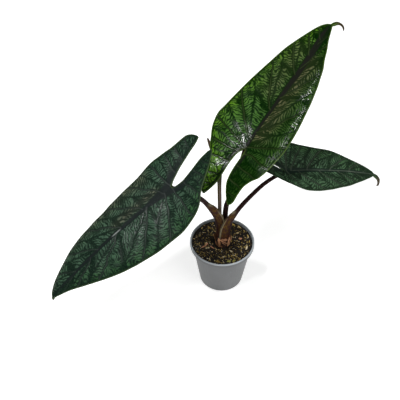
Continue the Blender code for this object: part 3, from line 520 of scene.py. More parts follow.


# On the left blade the pale vein colour and the full midrib line paint a highlight on the midrib, and the
# bronze paints one beside it.
LeftBladeLook = blade_look(
    "LeftBladeLook", ground=(0.004, 0.012, 0.007), ridge=(0.052, 0.100, 0.064),
    flush=(0.028, 0.085, 0.026), rib=(0.008, 0.012, 0.012), bronze=(0.170, 0.140, 0.100),
    margin=(0.060, 0.100, 0.035), under=(0.075, 0.105, 0.060), vein=(0.300, 0.330, 0.310),
    line=0.10, crest=1.0, flecks=0.45, wander=0.52, roughness=0.30, gloss=0.06, right_shade=0.0,
    ladder=0.00034, pitch=0.0024, swell=0.0009, cut=0.00018, sunk=0.30, channel=0.00022)
CentreBladeLook = blade_look(
    "CentreBladeLook", ground=(0.001, 0.013, 0.0005), ridge=(0.060, 0.148, 0.030),
    flush=(0.086, 0.210, 0.010), rib=(0.012, 0.012, 0.010), bronze=(0.132, 0.130, 0.064),
    margin=(0.085, 0.150, 0.025), under=(0.080, 0.130, 0.060), vein=(0.150, 0.220, 0.070),
    # this blade's right half gets painted shade
    line=0.22, crest=0.0, flecks=0.30, wander=0.48, roughness=0.26, gloss=0.015, right_shade=0.50,
    # this blade's vein grooves get the deepest painted shade
    ladder=0.00042, pitch=0.0025, swell=0.0011, cut=0.00038, sunk=0.9, channel=0.00016)
RightBladeLook = blade_look(
    "RightBladeLook", ground=(0.009, 0.022, 0.010), ridge=(0.094, 0.178, 0.098),
    flush=(0.074, 0.180, 0.062), rib=(0.010, 0.022, 0.016), bronze=(0.055, 0.050, 0.030),
    margin=(0.050, 0.100, 0.040), under=(0.075, 0.115, 0.060), vein=(0.190, 0.230, 0.170),
    line=0.36, crest=0.4, flecks=0.45, wander=0.38, roughness=0.38, gloss=0.09, right_shade=0.0,
    ladder=0.00034, pitch=0.0022, swell=0.0007, cut=0.00014, sunk=0.35, channel=0.0)


class StalkLook(bpy.types.PropertyGroup):
    """Petioles, their sheaths and the rolled new leaf."""
    stalk: colour("Petiole", "Dark skin of the petioles", (0.018, 0.0055, 0.0045))
    mottle: colour("Mottling", "Fine lighter flecks on that skin", (0.045, 0.017, 0.012))
    sheath: colour("Sheath", "Olive skin of the sheaths", (0.110, 0.057, 0.010))
    lip: colour("Sheath margin", "Papery margin of the sheaths", (0.33, 0.29, 0.18))
    rolled: colour("Rolled leaf", "Skin of the rolled new leaf", (0.062, 0.034, 0.006))
    shade: colour("Rolled leaf side", "Its skin on the right", (0.060, 0.022, 0.018))
    stripe: colour("Pale stripe", "Pale stripe along the rolled leaf", (0.34, 0.28, 0.23))
    lip_height: length("Margin height", "How far a sheath's margin stands up", 0.0008)


class StemLook(bpy.types.PropertyGroup):
    """The stem base and the torn scales round it."""
    skin: colour("Stem skin", "Reddish-brown skin of the stem base", (0.085, 0.032, 0.018))
    scale: colour("Scales", "Papery dry scales", (0.82, 0.42, 0.22))
    scale_shade: colour("Scale shade", "Dark red of their feet and folds", (0.070, 0.013, 0.004))


class PotLook(bpy.types.PropertyGroup):
    """The thin plastic pot."""
    wall: colour("Plastic", "Colour of the plastic", (0.116, 0.121, 0.124))
    # This colour paints a highlight on the rim and light on the inner wall, and colours the scuffs.
    wear_and_painted_light: colour("Worn plastic", "Colour of its rubbed edges", (0.44, 0.48, 0.51))
    roughness: share("Roughness", "Roughness of the plastic", 0.42)


class SoilLook(bpy.types.PropertyGroup):
    """The potting mix and what lies on it."""
    mix: colour("Mix", "Damp dark mix", (0.006, 0.0045, 0.003))
    crumb: colour("Crumbs", "Drier crumbs of the mix", (0.014, 0.009, 0.005))
    chips: number("Chips", "How many bark chips lie on the mix", 460)
    fibres: number("Fibres", "How many coir fibres lie on the mix", 200)
    grit: number("Grit", "How many small grains lie on the mix", 520)


class StageLook(bpy.types.PropertyGroup):
    """Floor, lights and camera."""
    floor: colour("Floor", "Colour of the floor", (0.80, 0.80, 0.80))
    floor_glow: share("Floor glow", "Light that the pale floor gives of itself", 0.60)
    key: power("Key light", "Power of the main wide light, high on the right", 9.5)
    back: power("Back light", "Power of the wide light behind on the left", 2.0)
    front: power("Front light", "Power of the wide light in front on the right", 3.0)
    spark: power("Small light", "Power of the small light that the centre leaf mirrors at its seat", 8.0)
    glint: power("Rear small light", "Power of the small light that its right margin mirrors", 4.0)
    gleam: power("Lower small light", "Power of the small light that its left lobe mirrors", 3.0)
    sky: share("Surround", "Brightness of the surround", 0.10)
    lens: focal_length("Lens", "Focal length", 61.6065)
    distance: length("Distance", "From the camera to the point it looks at", 0.6)
    elevation: tilt("Elevation", "Angle at which the camera looks down", math.radians(44.70947))


LOOKS = {"leaf_left": LeftBladeLook, "leaf_centre": CentreBladeLook, "leaf_right": RightBladeLook,
         "stalks": StalkLook, "stem": StemLook, "pot": PotLook, "soil": SoilLook, "stage": StageLook}


def look(name):
    """The settings of one group of pieces."""
    return getattr(bpy.context.scene, "alocasia_" + name)


# Curves and fields

def smoothstep(x):
    """0 below 0, 1 above 1, and 3x^2 - 2x^3 between."""
    x = np.clip(x, 0.0, 1.0)
    return x * x * (3.0 - 2.0 * x)


def rise(x, start=0.0, over=1.0):
    """Smooth step from 0 at start to 1 a distance over past it."""
    return smoothstep((x - start) / over)


def fall(x, end, over):
    """Smooth step from 1, a distance over before end, to 0 at end."""
    return smoothstep((end - x) / over)


def bell(x, width):
    """Exponential of minus the square of x over width: 1 at 0, and a third at the width."""
    return np.exp(-(x / width) ** 2)


def through(points, x):
    """Value at x of a smooth curve through (x, y) points, with no overshoot between them."""
    table = np.array(points, float)
    xs, ys = table[np.argsort(table[:, 0])].T
    slope = np.diff(ys) / np.diff(xs)
    inner = np.where(slope[1:] * slope[:-1] > 0, 2 * slope[1:] * slope[:-1]
                     / np.where(slope[1:] + slope[:-1] == 0, 1, slope[1:] + slope[:-1]), 0.0)
    tangent = np.concatenate([slope[:1], inner, slope[-1:]])
    x = np.clip(x, xs[0], xs[-1])
    k = np.clip(np.searchsorted(xs, x, side="right") - 1, 0, len(xs) - 2)
    h = xs[k + 1] - xs[k]
    t = (x - xs[k]) / h
    return ((1 + 2 * t) * (1 - t) ** 2 * ys[k] + t * (1 - t) ** 2 * h * tangent[k]
            + t * t * (3 - 2 * t) * ys[k + 1] + t * t * (t - 1) * h * tangent[k + 1])


def space_curve(points, count):
    """count points evenly spaced along a smooth curve through points, with their distances along it."""
    points = np.array(points, float)
    chord = np.concatenate([[0.0], np.cumsum(np.linalg.norm(np.diff(points, axis=0), axis=1))])
    fine = np.linspace(0.0, chord[-1], 600)
    line = np.stack([through(np.stack([chord, points[:, k]], axis=1), fine) for k in range(3)], axis=1)
    run = np.concatenate([[0.0], np.cumsum(np.linalg.norm(np.diff(line, axis=0), axis=1))])
    even = np.linspace(0.0, run[-1], count)
    return np.stack([np.interp(even, run, line[:, k]) for k in range(3)], axis=1), even


def ripple(seed, x, y, wavelength, waves=9):
    """Smooth irregular field, about -1 to 1: plane waves of near wavelengths and random directions."""
    draw = np.random.default_rng(seed)
    angle = draw.uniform(0.0, 2 * math.pi, waves)
    size = wavelength * draw.uniform(0.65, 1.6, waves)
    phase = draw.uniform(0.0, 2 * math.pi, waves)
    x, y = np.asarray(x, float)[..., None], np.asarray(y, float)[..., None]
    heights = np.sin(2 * math.pi * (x * np.cos(angle) + y * np.sin(angle)) / size + phase)
    return heights.sum(axis=-1) / 4.0


def waver(name, side, x, y):
    """One of the irregular fields of WAVERS, on one half of a blade."""
    seed, height, wavelength = WAVERS[name]
    return height * ripple(seed + side, x, y, wavelength)


def unit(vectors):
    """The same vectors with a length of 1."""
    return vectors / np.linalg.norm(vectors, axis=-1, keepdims=True)


def around(sides):
    """Angles of the corners of a ring."""
    return np.arange(sides) * 2 * math.pi / sides


def dimmed(tint, part):
    """A colour at a part of its brightness."""
    return [part * channel for channel in tint]


# Meshes

def quads_of(index):
    """Quads between the neighbouring rows and columns of an index grid."""
    a, b = index[:-1, :-1], index[1:, :-1]
    c, d = index[1:, 1:], index[:-1, 1:]
    return np.stack([a, b, c, d], axis=-1).reshape(-1, 4)


def wrapped(rows, columns):
    """Index grid of a tube: its first column stands again after its last."""
    index = np.arange(rows * columns).reshape(rows, columns)
    return np.concatenate([index, index[:, :1]], axis=1)


def triangles(faces):
    """Faces as triangles: a quad is cut along the line from its first corner to its third."""
    faces = np.asarray(faces)
    if faces.shape[1] == 3:
        return faces
    return np.concatenate([faces[:, [0, 1, 2]], faces[:, [0, 2, 3]]])


def outward(vertices, groups):
    """The same faces, turned over if they enclose a negative volume."""
    tris = np.concatenate([triangles(group) for group in groups])
    a, b, c = vertices[tris[:, 0]], vertices[tris[:, 1]], vertices[tris[:, 2]]
    middle = vertices.mean(axis=0)
    volume = np.einsum("ij,ij->", a - middle, np.cross(b - middle, c - middle))
    return [group if volume > 0 else group[:, ::-1] for group in groups]


def placed(name, data):
    """A new object with that data, in the scene."""
    item = bpy.data.objects.new(name, data)
    bpy.context.scene.collection.objects.link(item)
    return item


def make_piece(name, vertices, groups, material, slot, replaces=(), smooth=True, flat_map=None, **marks):
    """Writes a closed mesh, in mm, with its marks as attributes, and sets it on the frame.

    Points that stand out of the frame's own box are pressed back to it.
    groups are arrays of faces, with three or four corners each. flat_map, if given, is the UV place
    of every vertex.
    """
    old = bpy.data.objects.get(name)
    if old:
        bpy.data.objects.remove(old)
    vertices = np.asarray(vertices, float)
    used = np.unique(np.concatenate([np.asarray(group).ravel() for group in groups]))
    groups = [np.searchsorted(used, group) for group in groups]
    low, high = np.array(CAD_BOX) / MM
    vertices = np.clip(vertices[used], low + 0.01, high - 0.01)
    groups = outward(vertices, groups)
    faces = [face for group in groups for face in group.tolist()]
    mesh = bpy.data.meshes.new(name)
    mesh.from_pydata((vertices * MM).tolist(), [], faces)
    if mesh.validate():
        raise RuntimeError(f"{name} has faces that Blender had to drop")
    for mark, values in marks.items():
        attribute = mesh.attributes.new(mark, "FLOAT", "POINT")
        attribute.data.foreach_set("value", np.asarray(values, np.float32).ravel()[used])
    if flat_map is not None:
        corner = np.zeros(len(mesh.loops), np.int64)
        mesh.loops.foreach_get("vertex_index", corner)
        layer = mesh.uv_layers.new(name="flat")
        layer.data.foreach_set("uv", np.asarray(flat_map, np.float32)[used][corner].ravel())
    mesh.materials.append(material)
    if smooth:
        mesh.shade_smooth()
    piece = placed(name, mesh)
    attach(piece, BODY)
    if replaces:
        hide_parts(*replaces)
    return piece


def tube_faces(rings, sides):
    """Quads of a tube of rings and fans to two more points, the middles of its ends."""
    index = wrapped(rings, sides)
    foot, top = rings * sides, rings * sides + 1
    low, high = index[0], index[-1]
    fans = np.concatenate([
        np.stack([np.full(sides, foot), low[:-1], low[1:]], axis=1),
        np.stack([np.full(sides, top), high[1:], high[:-1]], axis=1)])
    return [quads_of(index)[:, ::-1], fans]


# Materials

class Value:
    """One value that varies over a surface: arithmetic on it adds Math nodes to its material."""

    def __init__(self, shader, socket):
        self.shader = shader
        self.socket = socket

    def math(self, operation, *values):
        """A Math node of that operation on values and numbers."""
        return self.shader.node("ShaderNodeMath", {"operation": operation}, dict(enumerate(values)))

    def __add__(self, other):
        return self.math("ADD", self, other)

    __radd__ = __add__

    def __sub__(self, other):
        return self.math("SUBTRACT", self, other)

    def __rsub__(self, other):
        return self.math("SUBTRACT", other, self)

    def __mul__(self, other):
        return self.math("MULTIPLY", self, other)

    __rmul__ = __mul__

    def __pow__(self, other):
        return self.math("POWER", self, other)

    def sine(self):
        """The sine of the value, in radians."""
        return self.math("SINE", self)

    def smooth(self, low, high):
        """0 where the value is low, 1 where it is high, and a smooth step between."""
        return self.shader.node("ShaderNodeMapRange", {"interpolation_type": "SMOOTHSTEP"},
                                {"Value": self, "From Min": low, "From Max": high})


class Shader:
    """A material with a Principled surface, and short ways to add its nodes."""

    def __init__(self, name, **constants):
        old = bpy.data.materials.get(name)
        if old:
            bpy.data.materials.remove(old)
        self.material = bpy.data.materials.new(name)
        self.material.use_nodes = True
        self.surface = self.material.node_tree.nodes["Principled BSDF"]
        for socket, value in constants.items():
            self.surface.inputs[socket.replace("_", " ")].default_value = value

    def node(self, kind, settings=None, sockets=None, output=0):
        """Adds a node: its settings first, then the values or links of its sockets."""
        made = self.material.node_tree.nodes.new(kind)
        for key, value in (settings or {}).items():
            if key == "stops":
                self.ramp(made.color_ramp, value)
            else:
                setattr(made, key, value)
        for key, value in (sockets or {}).items():
            self.feed(made.inputs[key], value)
        return Value(self, made.outputs[output])

    def ramp(self, ramp, stops):
        """Sets the (place, colour) stops of a colour ramp."""
        while len(ramp.elements) < len(stops):
            ramp.elements.new(1.0)
        for element, (place, tint) in zip(ramp.elements, stops):
            element.position = place
            element.color = (*tint, 1.0)

    def feed(self, socket, value):
        """Links a Value to a socket, or sets a colour or a number on it."""
        if isinstance(value, Value):
            self.material.node_tree.links.new(value.socket, socket)
        elif socket.type == "RGBA":
            socket.default_value = (*value[:3], 1.0)
        else:
            socket.default_value = value

    def mark(self, name):
        """The value of a mesh attribute."""
        return self.node("ShaderNodeAttribute", {"attribute_name": name}, output=2)

    def place(self):
        """Object coordinates."""
        return self.node("ShaderNodeTexCoord", output=3)

    def flat(self):
        """The piece's own flat map."""
        return self.node("ShaderNodeUVMap", {"uv_map": "flat"})

    def noise(self, grain, at=None):
        """Noise about 0.5 with one of GRAINS, on Object coordinates or on the place given."""
        scale, detail, roughness, *stretch = GRAINS[grain]
        at = at or self.place()
        if stretch:
            at = self.node("ShaderNodeMapping", {}, {"Vector": at, "Scale": stretch[0]})
        return self.node("ShaderNodeTexNoise", {},
                         {"Vector": at, "Scale": scale, "Detail": detail, "Roughness": roughness})

    def mix(self, first, second, factor):
        """A colour between two others."""
        return self.node("ShaderNodeMix", {"data_type": "RGBA"}, {0: factor, 6: first, 7: second}, output=2)

    def bump(self, height, distance, strength):
        """A normal tilted by a height, which stands for so many metres from 0 to 1."""
        return self.node("ShaderNodeBump", {}, {"Strength": strength, "Distance": distance, "Height": height})

    def finish(self, tint, roughness=None, normal=None, coat=None):
        """Feeds the surface what is given, and returns the material."""
        for socket, value in (("Base Color", tint), ("Roughness", roughness), ("Normal", normal),
                              ("Coat Weight", coat)):
            if value is not None:
                self.feed(self.surface.inputs[socket], value)
        return self.material


# Blades

def midrib(leaf, along):
    """Point, forward, left and up directions of the bent midrib at distances along it, in mm.

    The slope falls along the blade, grows along the lobes and curls down past the tip. The point
    is the running sum of the forward directions from the seat.
    """
    back = int(-min(along.min(), -1.0) / MIDRIB_STEP) + 2
    ahead = int(max(along.max(), 1.0) / MIDRIB_STEP) + 2
    s = np.arange(-back, ahead + 1) * MIDRIB_STEP
    past_tip = np.clip((s - leaf.length + TAIL_START) / (leaf.tail + TAIL_START), 0.0, 1.0)
    slope = np.radians(leaf.pitch - leaf.droop * np.clip(s, 0, None) / 100
                       + leaf.lobe_turn * np.clip(-s, 0, None) / 100 - leaf.curl * past_tip ** CURL_POWER)
    turn = np.radians(leaf.heading + leaf.hook * past_tip)
    forward = np.stack([np.cos(slope) * np.cos(turn), np.cos(slope) * np.sin(turn), np.sin(slope)], axis=1)
    run = np.cumsum((forward[1:] + forward[:-1]) / 2 * MIDRIB_STEP, axis=0)
    line = np.concatenate([np.zeros((1, 3)), run])
    line += np.array(leaf.seat) - line[back]
    level = np.stack([-np.sin(turn), np.cos(turn), np.zeros(len(s))], axis=1)
    lift = np.cross(forward, level)
    roll = math.radians(leaf.roll)
    left = level * math.cos(roll) + lift * math.sin(roll)
    up = lift * math.cos(roll) - level * math.sin(roll)
    return [np.stack([np.interp(along, s, column[:, k]) for k in range(3)], axis=1)
            for column in (line, forward, left, up)]


def bent(leaf, along, out, side):
    """Place and normal, in mm, of flat blade points: along the midrib, and out from it on one side.

    A half leaves the midrib at its fold and arches down evenly, so its section is part of a circle.
    A negative distance out lies on the other side.
    """
    point, _, left, up = midrib(leaf, along)
    side, out = np.where(out < 0, -side, side), np.abs(out)
    blended = fall(along, FOLD_RANGE, 2 * FOLD_RANGE)
    fold = np.radians(leaf.fold + (leaf.lobe_fold - leaf.fold) * blended)
    curve = math.radians(leaf.arch) / 10
    lateral = (np.sin(fold) - np.sin(fold - curve * out)) / curve
    height = (np.cos(fold - curve * out) - np.cos(fold)) / curve
    lean = (fold - curve * out) * rise(out, over=LEAN_REACH)
    place = point + left * (side * lateral)[:, None] + up * height[:, None]
    normal = left * (-side * np.sin(lean))[:, None] + up * np.cos(lean)[:, None]
    return place, normal


def blade_rows(leaf, lobe):
    """Start and end along the blade of each grid row, from the drip tip to the lobe's end.

    Also gives the row at the seat. Both stretches have an even number of steps, because the
    underside uses every second row.
    """
    table = np.array(SIDE_VEINS)
    table = table * np.where(table > 0, leaf.length, lobe)
    tail = leaf.length + leaf.tail * np.linspace(1.0, 0.0, TAIL_ROWS + 1)[:-1]
    rows = [np.stack([tail, tail], axis=1)]
    for part, size in ((table[:SEAT_VEIN + 1], leaf.length), (table[SEAT_VEIN:], lobe)):
        run = np.concatenate([[0.0], np.cumsum(np.abs(np.diff(part.mean(axis=1))))])
        steps = 2 * int(size / GRID_STEP / 2)
        even = np.linspace(0.0, run[-1], steps + 1)
        rows.append(np.stack([np.interp(even, run, part[:, k]) for k in range(2)], axis=1)[:-1])
    seat_row = len(rows[0]) + len(rows[1])
    rows.append(table[-1:])
    start, end = np.concatenate(rows).T
    return start, end, seat_row


def costa(along):
    """How far out a lobe's rib lies from the lobe's inner edge: a smooth step that starts at the seat."""
    return COSTA_OFFSET * smoothstep(-along / COSTA_START)


def vein_lines(leaf, half, count=28):
    """Flat points along each side vein of one half.

    A side vein runs straight out to the margin while its share along the blade is its share out to
    the power VEIN_CURVE, so that it bends toward the tip.
    """
    lobe = -half.margin[-1][0]
    t = np.linspace(0.0, 1.0, count)
    lines = []
    for begin, finish, _ in half.veins:
        start = begin * (leaf.length if begin > 0 else lobe)
        end = finish * (leaf.length if finish > 0 else lobe)
        inner = through(half.sinus, start) + costa(start) if start < 0 else 0.0
        outer = through(half.margin, end)
        lines.append(np.stack([start + (end - start) * t ** VEIN_CURVE, inner + (outer - inner) * t], axis=1))
    return lines


def to_line(points, line):
    """Distance from each point to a flat polyline, and how far along it the nearest place is."""
    first, step = line[:-1], np.diff(line, axis=0)
    size = np.linalg.norm(step, axis=1)
    gap = points[:, None, :] - first
    t = np.clip((gap * step).sum(axis=2) / size ** 2, 0.0, 1.0)
    away = np.sqrt(((gap - t[..., None] * step) ** 2).sum(axis=2))
    nearest = away.argmin(axis=1)
    pick = np.arange(len(points)), nearest
    run = np.concatenate([[0.0], np.cumsum(size)])
    return away[pick], run[nearest] + t[pick] * size[nearest]


def vein_net(leaf, half, side, grid, finish):
    """Heights from 0 to 1 of one half's veins at its grid points, and how near the next vein is, in mm.

    Each point belongs to the nearest side vein or to the rib. Small veins leave that vein and lean
    outward, evenly spaced along it: the skin between them rises as a power of the sine of their
    phase, and cross veins break it into bricks. Where a point is as near to a second vein, a
    collecting vein runs. Grooves and cords fall as the bell of the distance from their side vein.
    """
    along, out = grid.along, grid.out
    lines = vein_lines(leaf, half)
    points = np.stack([along + waver("vein along", side, along, out),
                       out + waver("vein out", side, along, out)], axis=1)
    found = [to_line(points, line) for line in lines]
    away = np.stack([pair[0] for pair in found] + [np.where(along > 0, RIB_REACH * out, grid.from_rib)])
    run = np.stack([pair[1] for pair in found] + [np.abs(along)])
    nearest = away.argmin(axis=0)
    pick = nearest, np.arange(len(along))
    near = away[pick]
    others = away.copy()
    others[pick] = np.inf
    second = others.min(axis=0)

    pitch = finish.pitch / MM
    by_rib = nearest == len(lines)
    lean = np.where(by_rib, half.lean / RIB_REACH, VEIN_LEAN)
    spacing = np.where(by_rib, pitch * math.hypot(1.0, half.lean), pitch)
    wander = finish.wander * (waver("order", side, along, out) + waver("fine order", side, along, out))
    phase = (run[pick] - lean * near) / spacing + wander
    order = np.floor(phase)
    ladder = np.sin(math.pi * (phase - order)) ** RIDGE_POWER
    by_order, by_vein, spread = SHIFTS
    shift = np.modf(np.abs(np.sin(order * by_order + nearest * by_vein)) * spread)[0]
    cells = near / (BRICK_LENGTH * pitch) + shift + waver("cross veins", side, along, out)
    brick = np.abs(np.sin(math.pi * cells)) ** RIDGE_POWER
    collecting = bell(second - near, COLLECTOR_WIDTH)
    net = ladder * (1 - BRICK_DEPTH + BRICK_DEPTH * brick) * (1 - COLLECTOR_CALM * collecting)
    net *= RIDGE_MEAN + waver("ridge height", side, along, out)

    reach = np.stack([line_run / max(line_run.max(), 1.0) for line_run in run[:-1]])
    strength = np.array([vein[2] for vein in half.veins])
    pull = strength[:, None] * (1 - VEIN_FADE * reach)
    groove, cord = ((pull * bell(away[:-1], width)).max(axis=0) for width in (GROOVE_WIDTH, CORD_WIDTH))
    return net, near, groove, cord, collecting


def zones(table, along, out):
    """Sum of soft zones of a half: rows of (from, to, distance out, spread, strength), in mm.

    A zone fades as a smooth step past its ends, and as the bell of the distance out from its middle.
    """
    total = np.zeros_like(along)
    for low, high, middle, spread, strength in table:
        inside = rise(along, low - ZONE_END / 2, ZONE_END) * fall(along, high + ZONE_END / 2, ZONE_END)
        total += strength * inside * bell(out - middle, spread)
    return total


class FlatHalf(NamedTuple):
    """The flat grid of one half of a blade, in mm, with one value for each of its points."""
    shape: tuple           # rows and columns
    seat_row: int          # the row at the seat
    along: np.ndarray      # distance along the midrib
    out: np.ndarray        # distance out from it
    outer: np.ndarray      # how far out the point's row ends
    width: np.ndarray      # how wide that row is
    to_margin: np.ndarray  # distance to the margin along it
    edge: np.ndarray       # distance to the nearer edge
    from_rib: np.ndarray   # distance from the midrib, or from the lobe's rib


def flat_half(leaf, half):
    """The flat grid of one half.

    Each row runs straight from the midrib, or from the lobe's inner edge, to the margin. Past the
    blade's tip the half-width is the drip tip's, which tapers evenly.
    """
    start, end, seat_row = blade_rows(leaf, -half.margin[-1][0])
    widest = max(width for _, width in half.margin)
    columns = 2 * int(math.hypot(widest, ROW_SLANT) / GRID_STEP / 2) + 1
    shape = (len(start), columns)
    across = np.linspace(0.0, 1.0, columns)
    past = np.clip((end - leaf.length) / leaf.tail, 0.0, 1.0)
    tip_half = (through(half.margin, leaf.length) + TIP_FLARE * smoothstep(4 * past)) * (1 - TIP_TAPER * past)
    outer = np.where(end > leaf.length, tip_half, through(half.margin, end))[:, None]
    inner = np.where(start < 0, through(half.sinus, start), 0.0)[:, None]
    start, end = start[:, None], end[:, None]
    size = np.hypot(outer - inner, end - start)
    along = start + (end - start) * across
    out = inner + (outer - inner) * across
    to_margin = (1 - across) * size
    edge = np.minimum(to_margin, np.where(start < 0, across * size, FAR))
    from_rib = np.where(along > 0, out, np.abs(out - inner - costa(along)))
    return FlatHalf(shape, seat_row, *(np.broadcast_to(field, shape).ravel() for field in (
        along, out, outer, outer - inner, to_margin, edge, from_rib)))


def half_blade(leaf, side, finish):
    """One half: points of its upper and its lower side in mm, its grid, its marks and its flat map.

    Both sides stand off the bent middle sheet, along its normal. The upper side adds the waves, the
    swelling and the small ridges, less the grooves. The underside adds the waves and most of the
    swelling, less the blade's thickness, its rib and its small veins. The drip tip thins as the
    root of what is left of its length.
    """
    half = leaf.left if side > 0 else leaf.right
    grid = flat_half(leaf, half)
    along, out, edge = grid.along, grid.out, grid.edge
    place, normal = bent(leaf, along, out, side)
    net, near, groove, cord, collecting = vein_net(leaf, half, side, grid, finish)

    band_width = np.interp(along, *np.array(half.band, float).T)
    into_lobe = np.where(along > 0, 1.0, fall(-along, BAND_LOBE, BAND_LOBE))
    band = (1 - rise(grid.from_rib, band_width, BAND_EDGE + band_width / 2)) * into_lobe
    wide = rise(grid.width, over=FULL_WIDTH)
    calm = half.calm * rise(-along, over=CALM_START)
    loud = wide * rise(edge, *RIDGE_EDGE) * rise(near, *RIDGE_VEIN) * (1 - BAND_CALM * band) * (1 - calm)
    swell = finish.swell / MM * (1 - bell(near, SWELL_REACH)) * rise(edge, over=EDGE_REACH) * wide
    cut = finish.cut / MM * groove * wide * rise(edge, over=CUT_REACH)
    channel = finish.channel / MM * np.where(along > 0, bell(out, CHANNEL_WIDTH), 0.0)
    channel = channel * rise(grid.width, over=NARROW) * rise(along, over=NARROW)
    dropped = COLLECTOR_DEPTH * collecting * loud + EDGE_DROP * bell(edge, EDGE_WIDTH) * wide
    relief = swell + finish.ladder / MM * net * loud - cut - channel - dropped

    margin_wave = waver("margin", side, along, 0 * along) * fall(edge, EDGE_REACH, EDGE_REACH)
    rolled = half.edge_roll * bell(grid.to_margin, ROLL_WIDTH) * rise(along, -ROLL_START, ROLL_START)
    wave = (waver("sheet", side, along, out) + margin_wave - rolled) * wide

    fade = 1 - np.where(along > 0, (1 - RIB_AT_TIP) * along / leaf.length, -along / COSTA_LENGTH)
    rib = RIB_HEIGHT * np.clip(fade, 0, 1) * bell(grid.from_rib, RIB_HALF_WIDTH)
    rib = rib * rise(grid.outer, over=NARROW)
    thick = BLADE_THICKNESS * (EDGE_THICKNESS + (1 - EDGE_THICKNESS) * rise(edge, over=THIN_REACH))
    horn = np.clip((along - leaf.length) / leaf.tail, 0.0, 1.0)
    thick += TIP_THICKNESS * rise(along, leaf.length - NARROW / 2, NARROW) * (1 - horn) ** 0.5
    nerves = NERVE_HEIGHT * groove * rise(edge, over=NERVE_REACH) * wide + NET_BELOW * (1 - net) * loud
    upper = place + normal * (wave + relief)[:, None]
    lower = place + normal * (wave + SWELL_BELOW * swell - thick - rib - nerves)[:, None]

    # crest: the pale midrib line, a painted highlight on the left leaf
    crest_from, crest_to = leaf.crest
    crest = bell(out, CREST_WIDTH) * rise(along, crest_from, CREST_END) * fall(along, crest_to, CREST_END)
    # painted light on a lobe: it takes the margin's flush colour and lifts the net there
    lobe_painted_light = half.lobe_painted_light * rise(-along, *LOBE_LIGHT_START)
    flush = bell(grid.to_margin, FLUSH_WIDTH) * wide * (1.0 if side > 0 else RIGHT_FLUSH) + lobe_painted_light
    dry_from, dry_over = (part * leaf.tail for part in DRY_SHARES)
    # In the material the groove mark carries painted shade, and the net mark partly painted shade and light.
    marks = {"net": net * loud + CALM_NET * calm * wide + LOBE_LIGHT_NET * lobe_painted_light, "groove": groove * wide,
             "cord": cord * wide, "band": band * wide, "crest": crest, "edge": bell(edge, EDGE_MARK),
             "flush": flush, "bronze": zones(half.bronze, along, out), "shine": zones(half.shine, along, out),
             "dry": rise(along, leaf.length + dry_from, max(dry_over, LEAST_DRY)),
             # the right half, which the material darkens with painted shade
             "right": np.full_like(along, side < 0)}
    return upper, lower, grid, marks, np.stack([along, out * side], axis=1) / FLAT_SIZE


def make_blade(name, leaf, finish, material, slot):
    """One closed blade: the halves share the midrib, and the underside has every second grid line.

    Triangles along the rim join two steps of the upper side to one of the underside.
    """
    uppers, lowers, grids, marks, flats = zip(*(half_blade(leaf, side, finish) for side in (1, -1)))
    total = sum(len(grid.along) for grid in grids)
    groups, offset, seams = [], 0, []
    for grid, flip in zip(grids, (False, True)):
        index = np.arange(len(grid.along)).reshape(grid.shape) + offset
        chain = np.concatenate([index[0, :-1], index[:-1, -1], index[-1, :0:-1],
                                index[:grid.seat_row - 1:-1, 0]])
        first, middle, last = chain[0:-2:2], chain[1:-1:2], chain[2::2]
        rim = np.concatenate([np.stack([first, first + total, middle], axis=1),
                              np.stack([middle, first + total, last + total], axis=1),
                              np.stack([middle, last + total, last], axis=1)])
        parts = [quads_of(index), quads_of(index[::2, ::2])[:, ::-1] + total, rim[:, ::-1]]
        groups += [part[:, ::-1] if flip else part for part in parts]
        seams.append(index[:grid.seat_row + 1, 0])
        offset += index.size
    weld = np.arange(2 * total)
    weld[seams[1]] = seams[0]
    weld[seams[1] + total] = seams[0] + total
    marks = {key: np.tile(np.concatenate([part[key] for part in marks]), 2) for key in marks[0]}
    marks["under"] = np.repeat([0.0, 1.0], total)
    return make_piece(name, np.concatenate([*uppers, *lowers]), [weld[group] for group in groups], material,
                      slot, (name.replace("_skin", ""),), flat_map=np.tile(np.concatenate(flats), (2, 1)),
                      **marks)


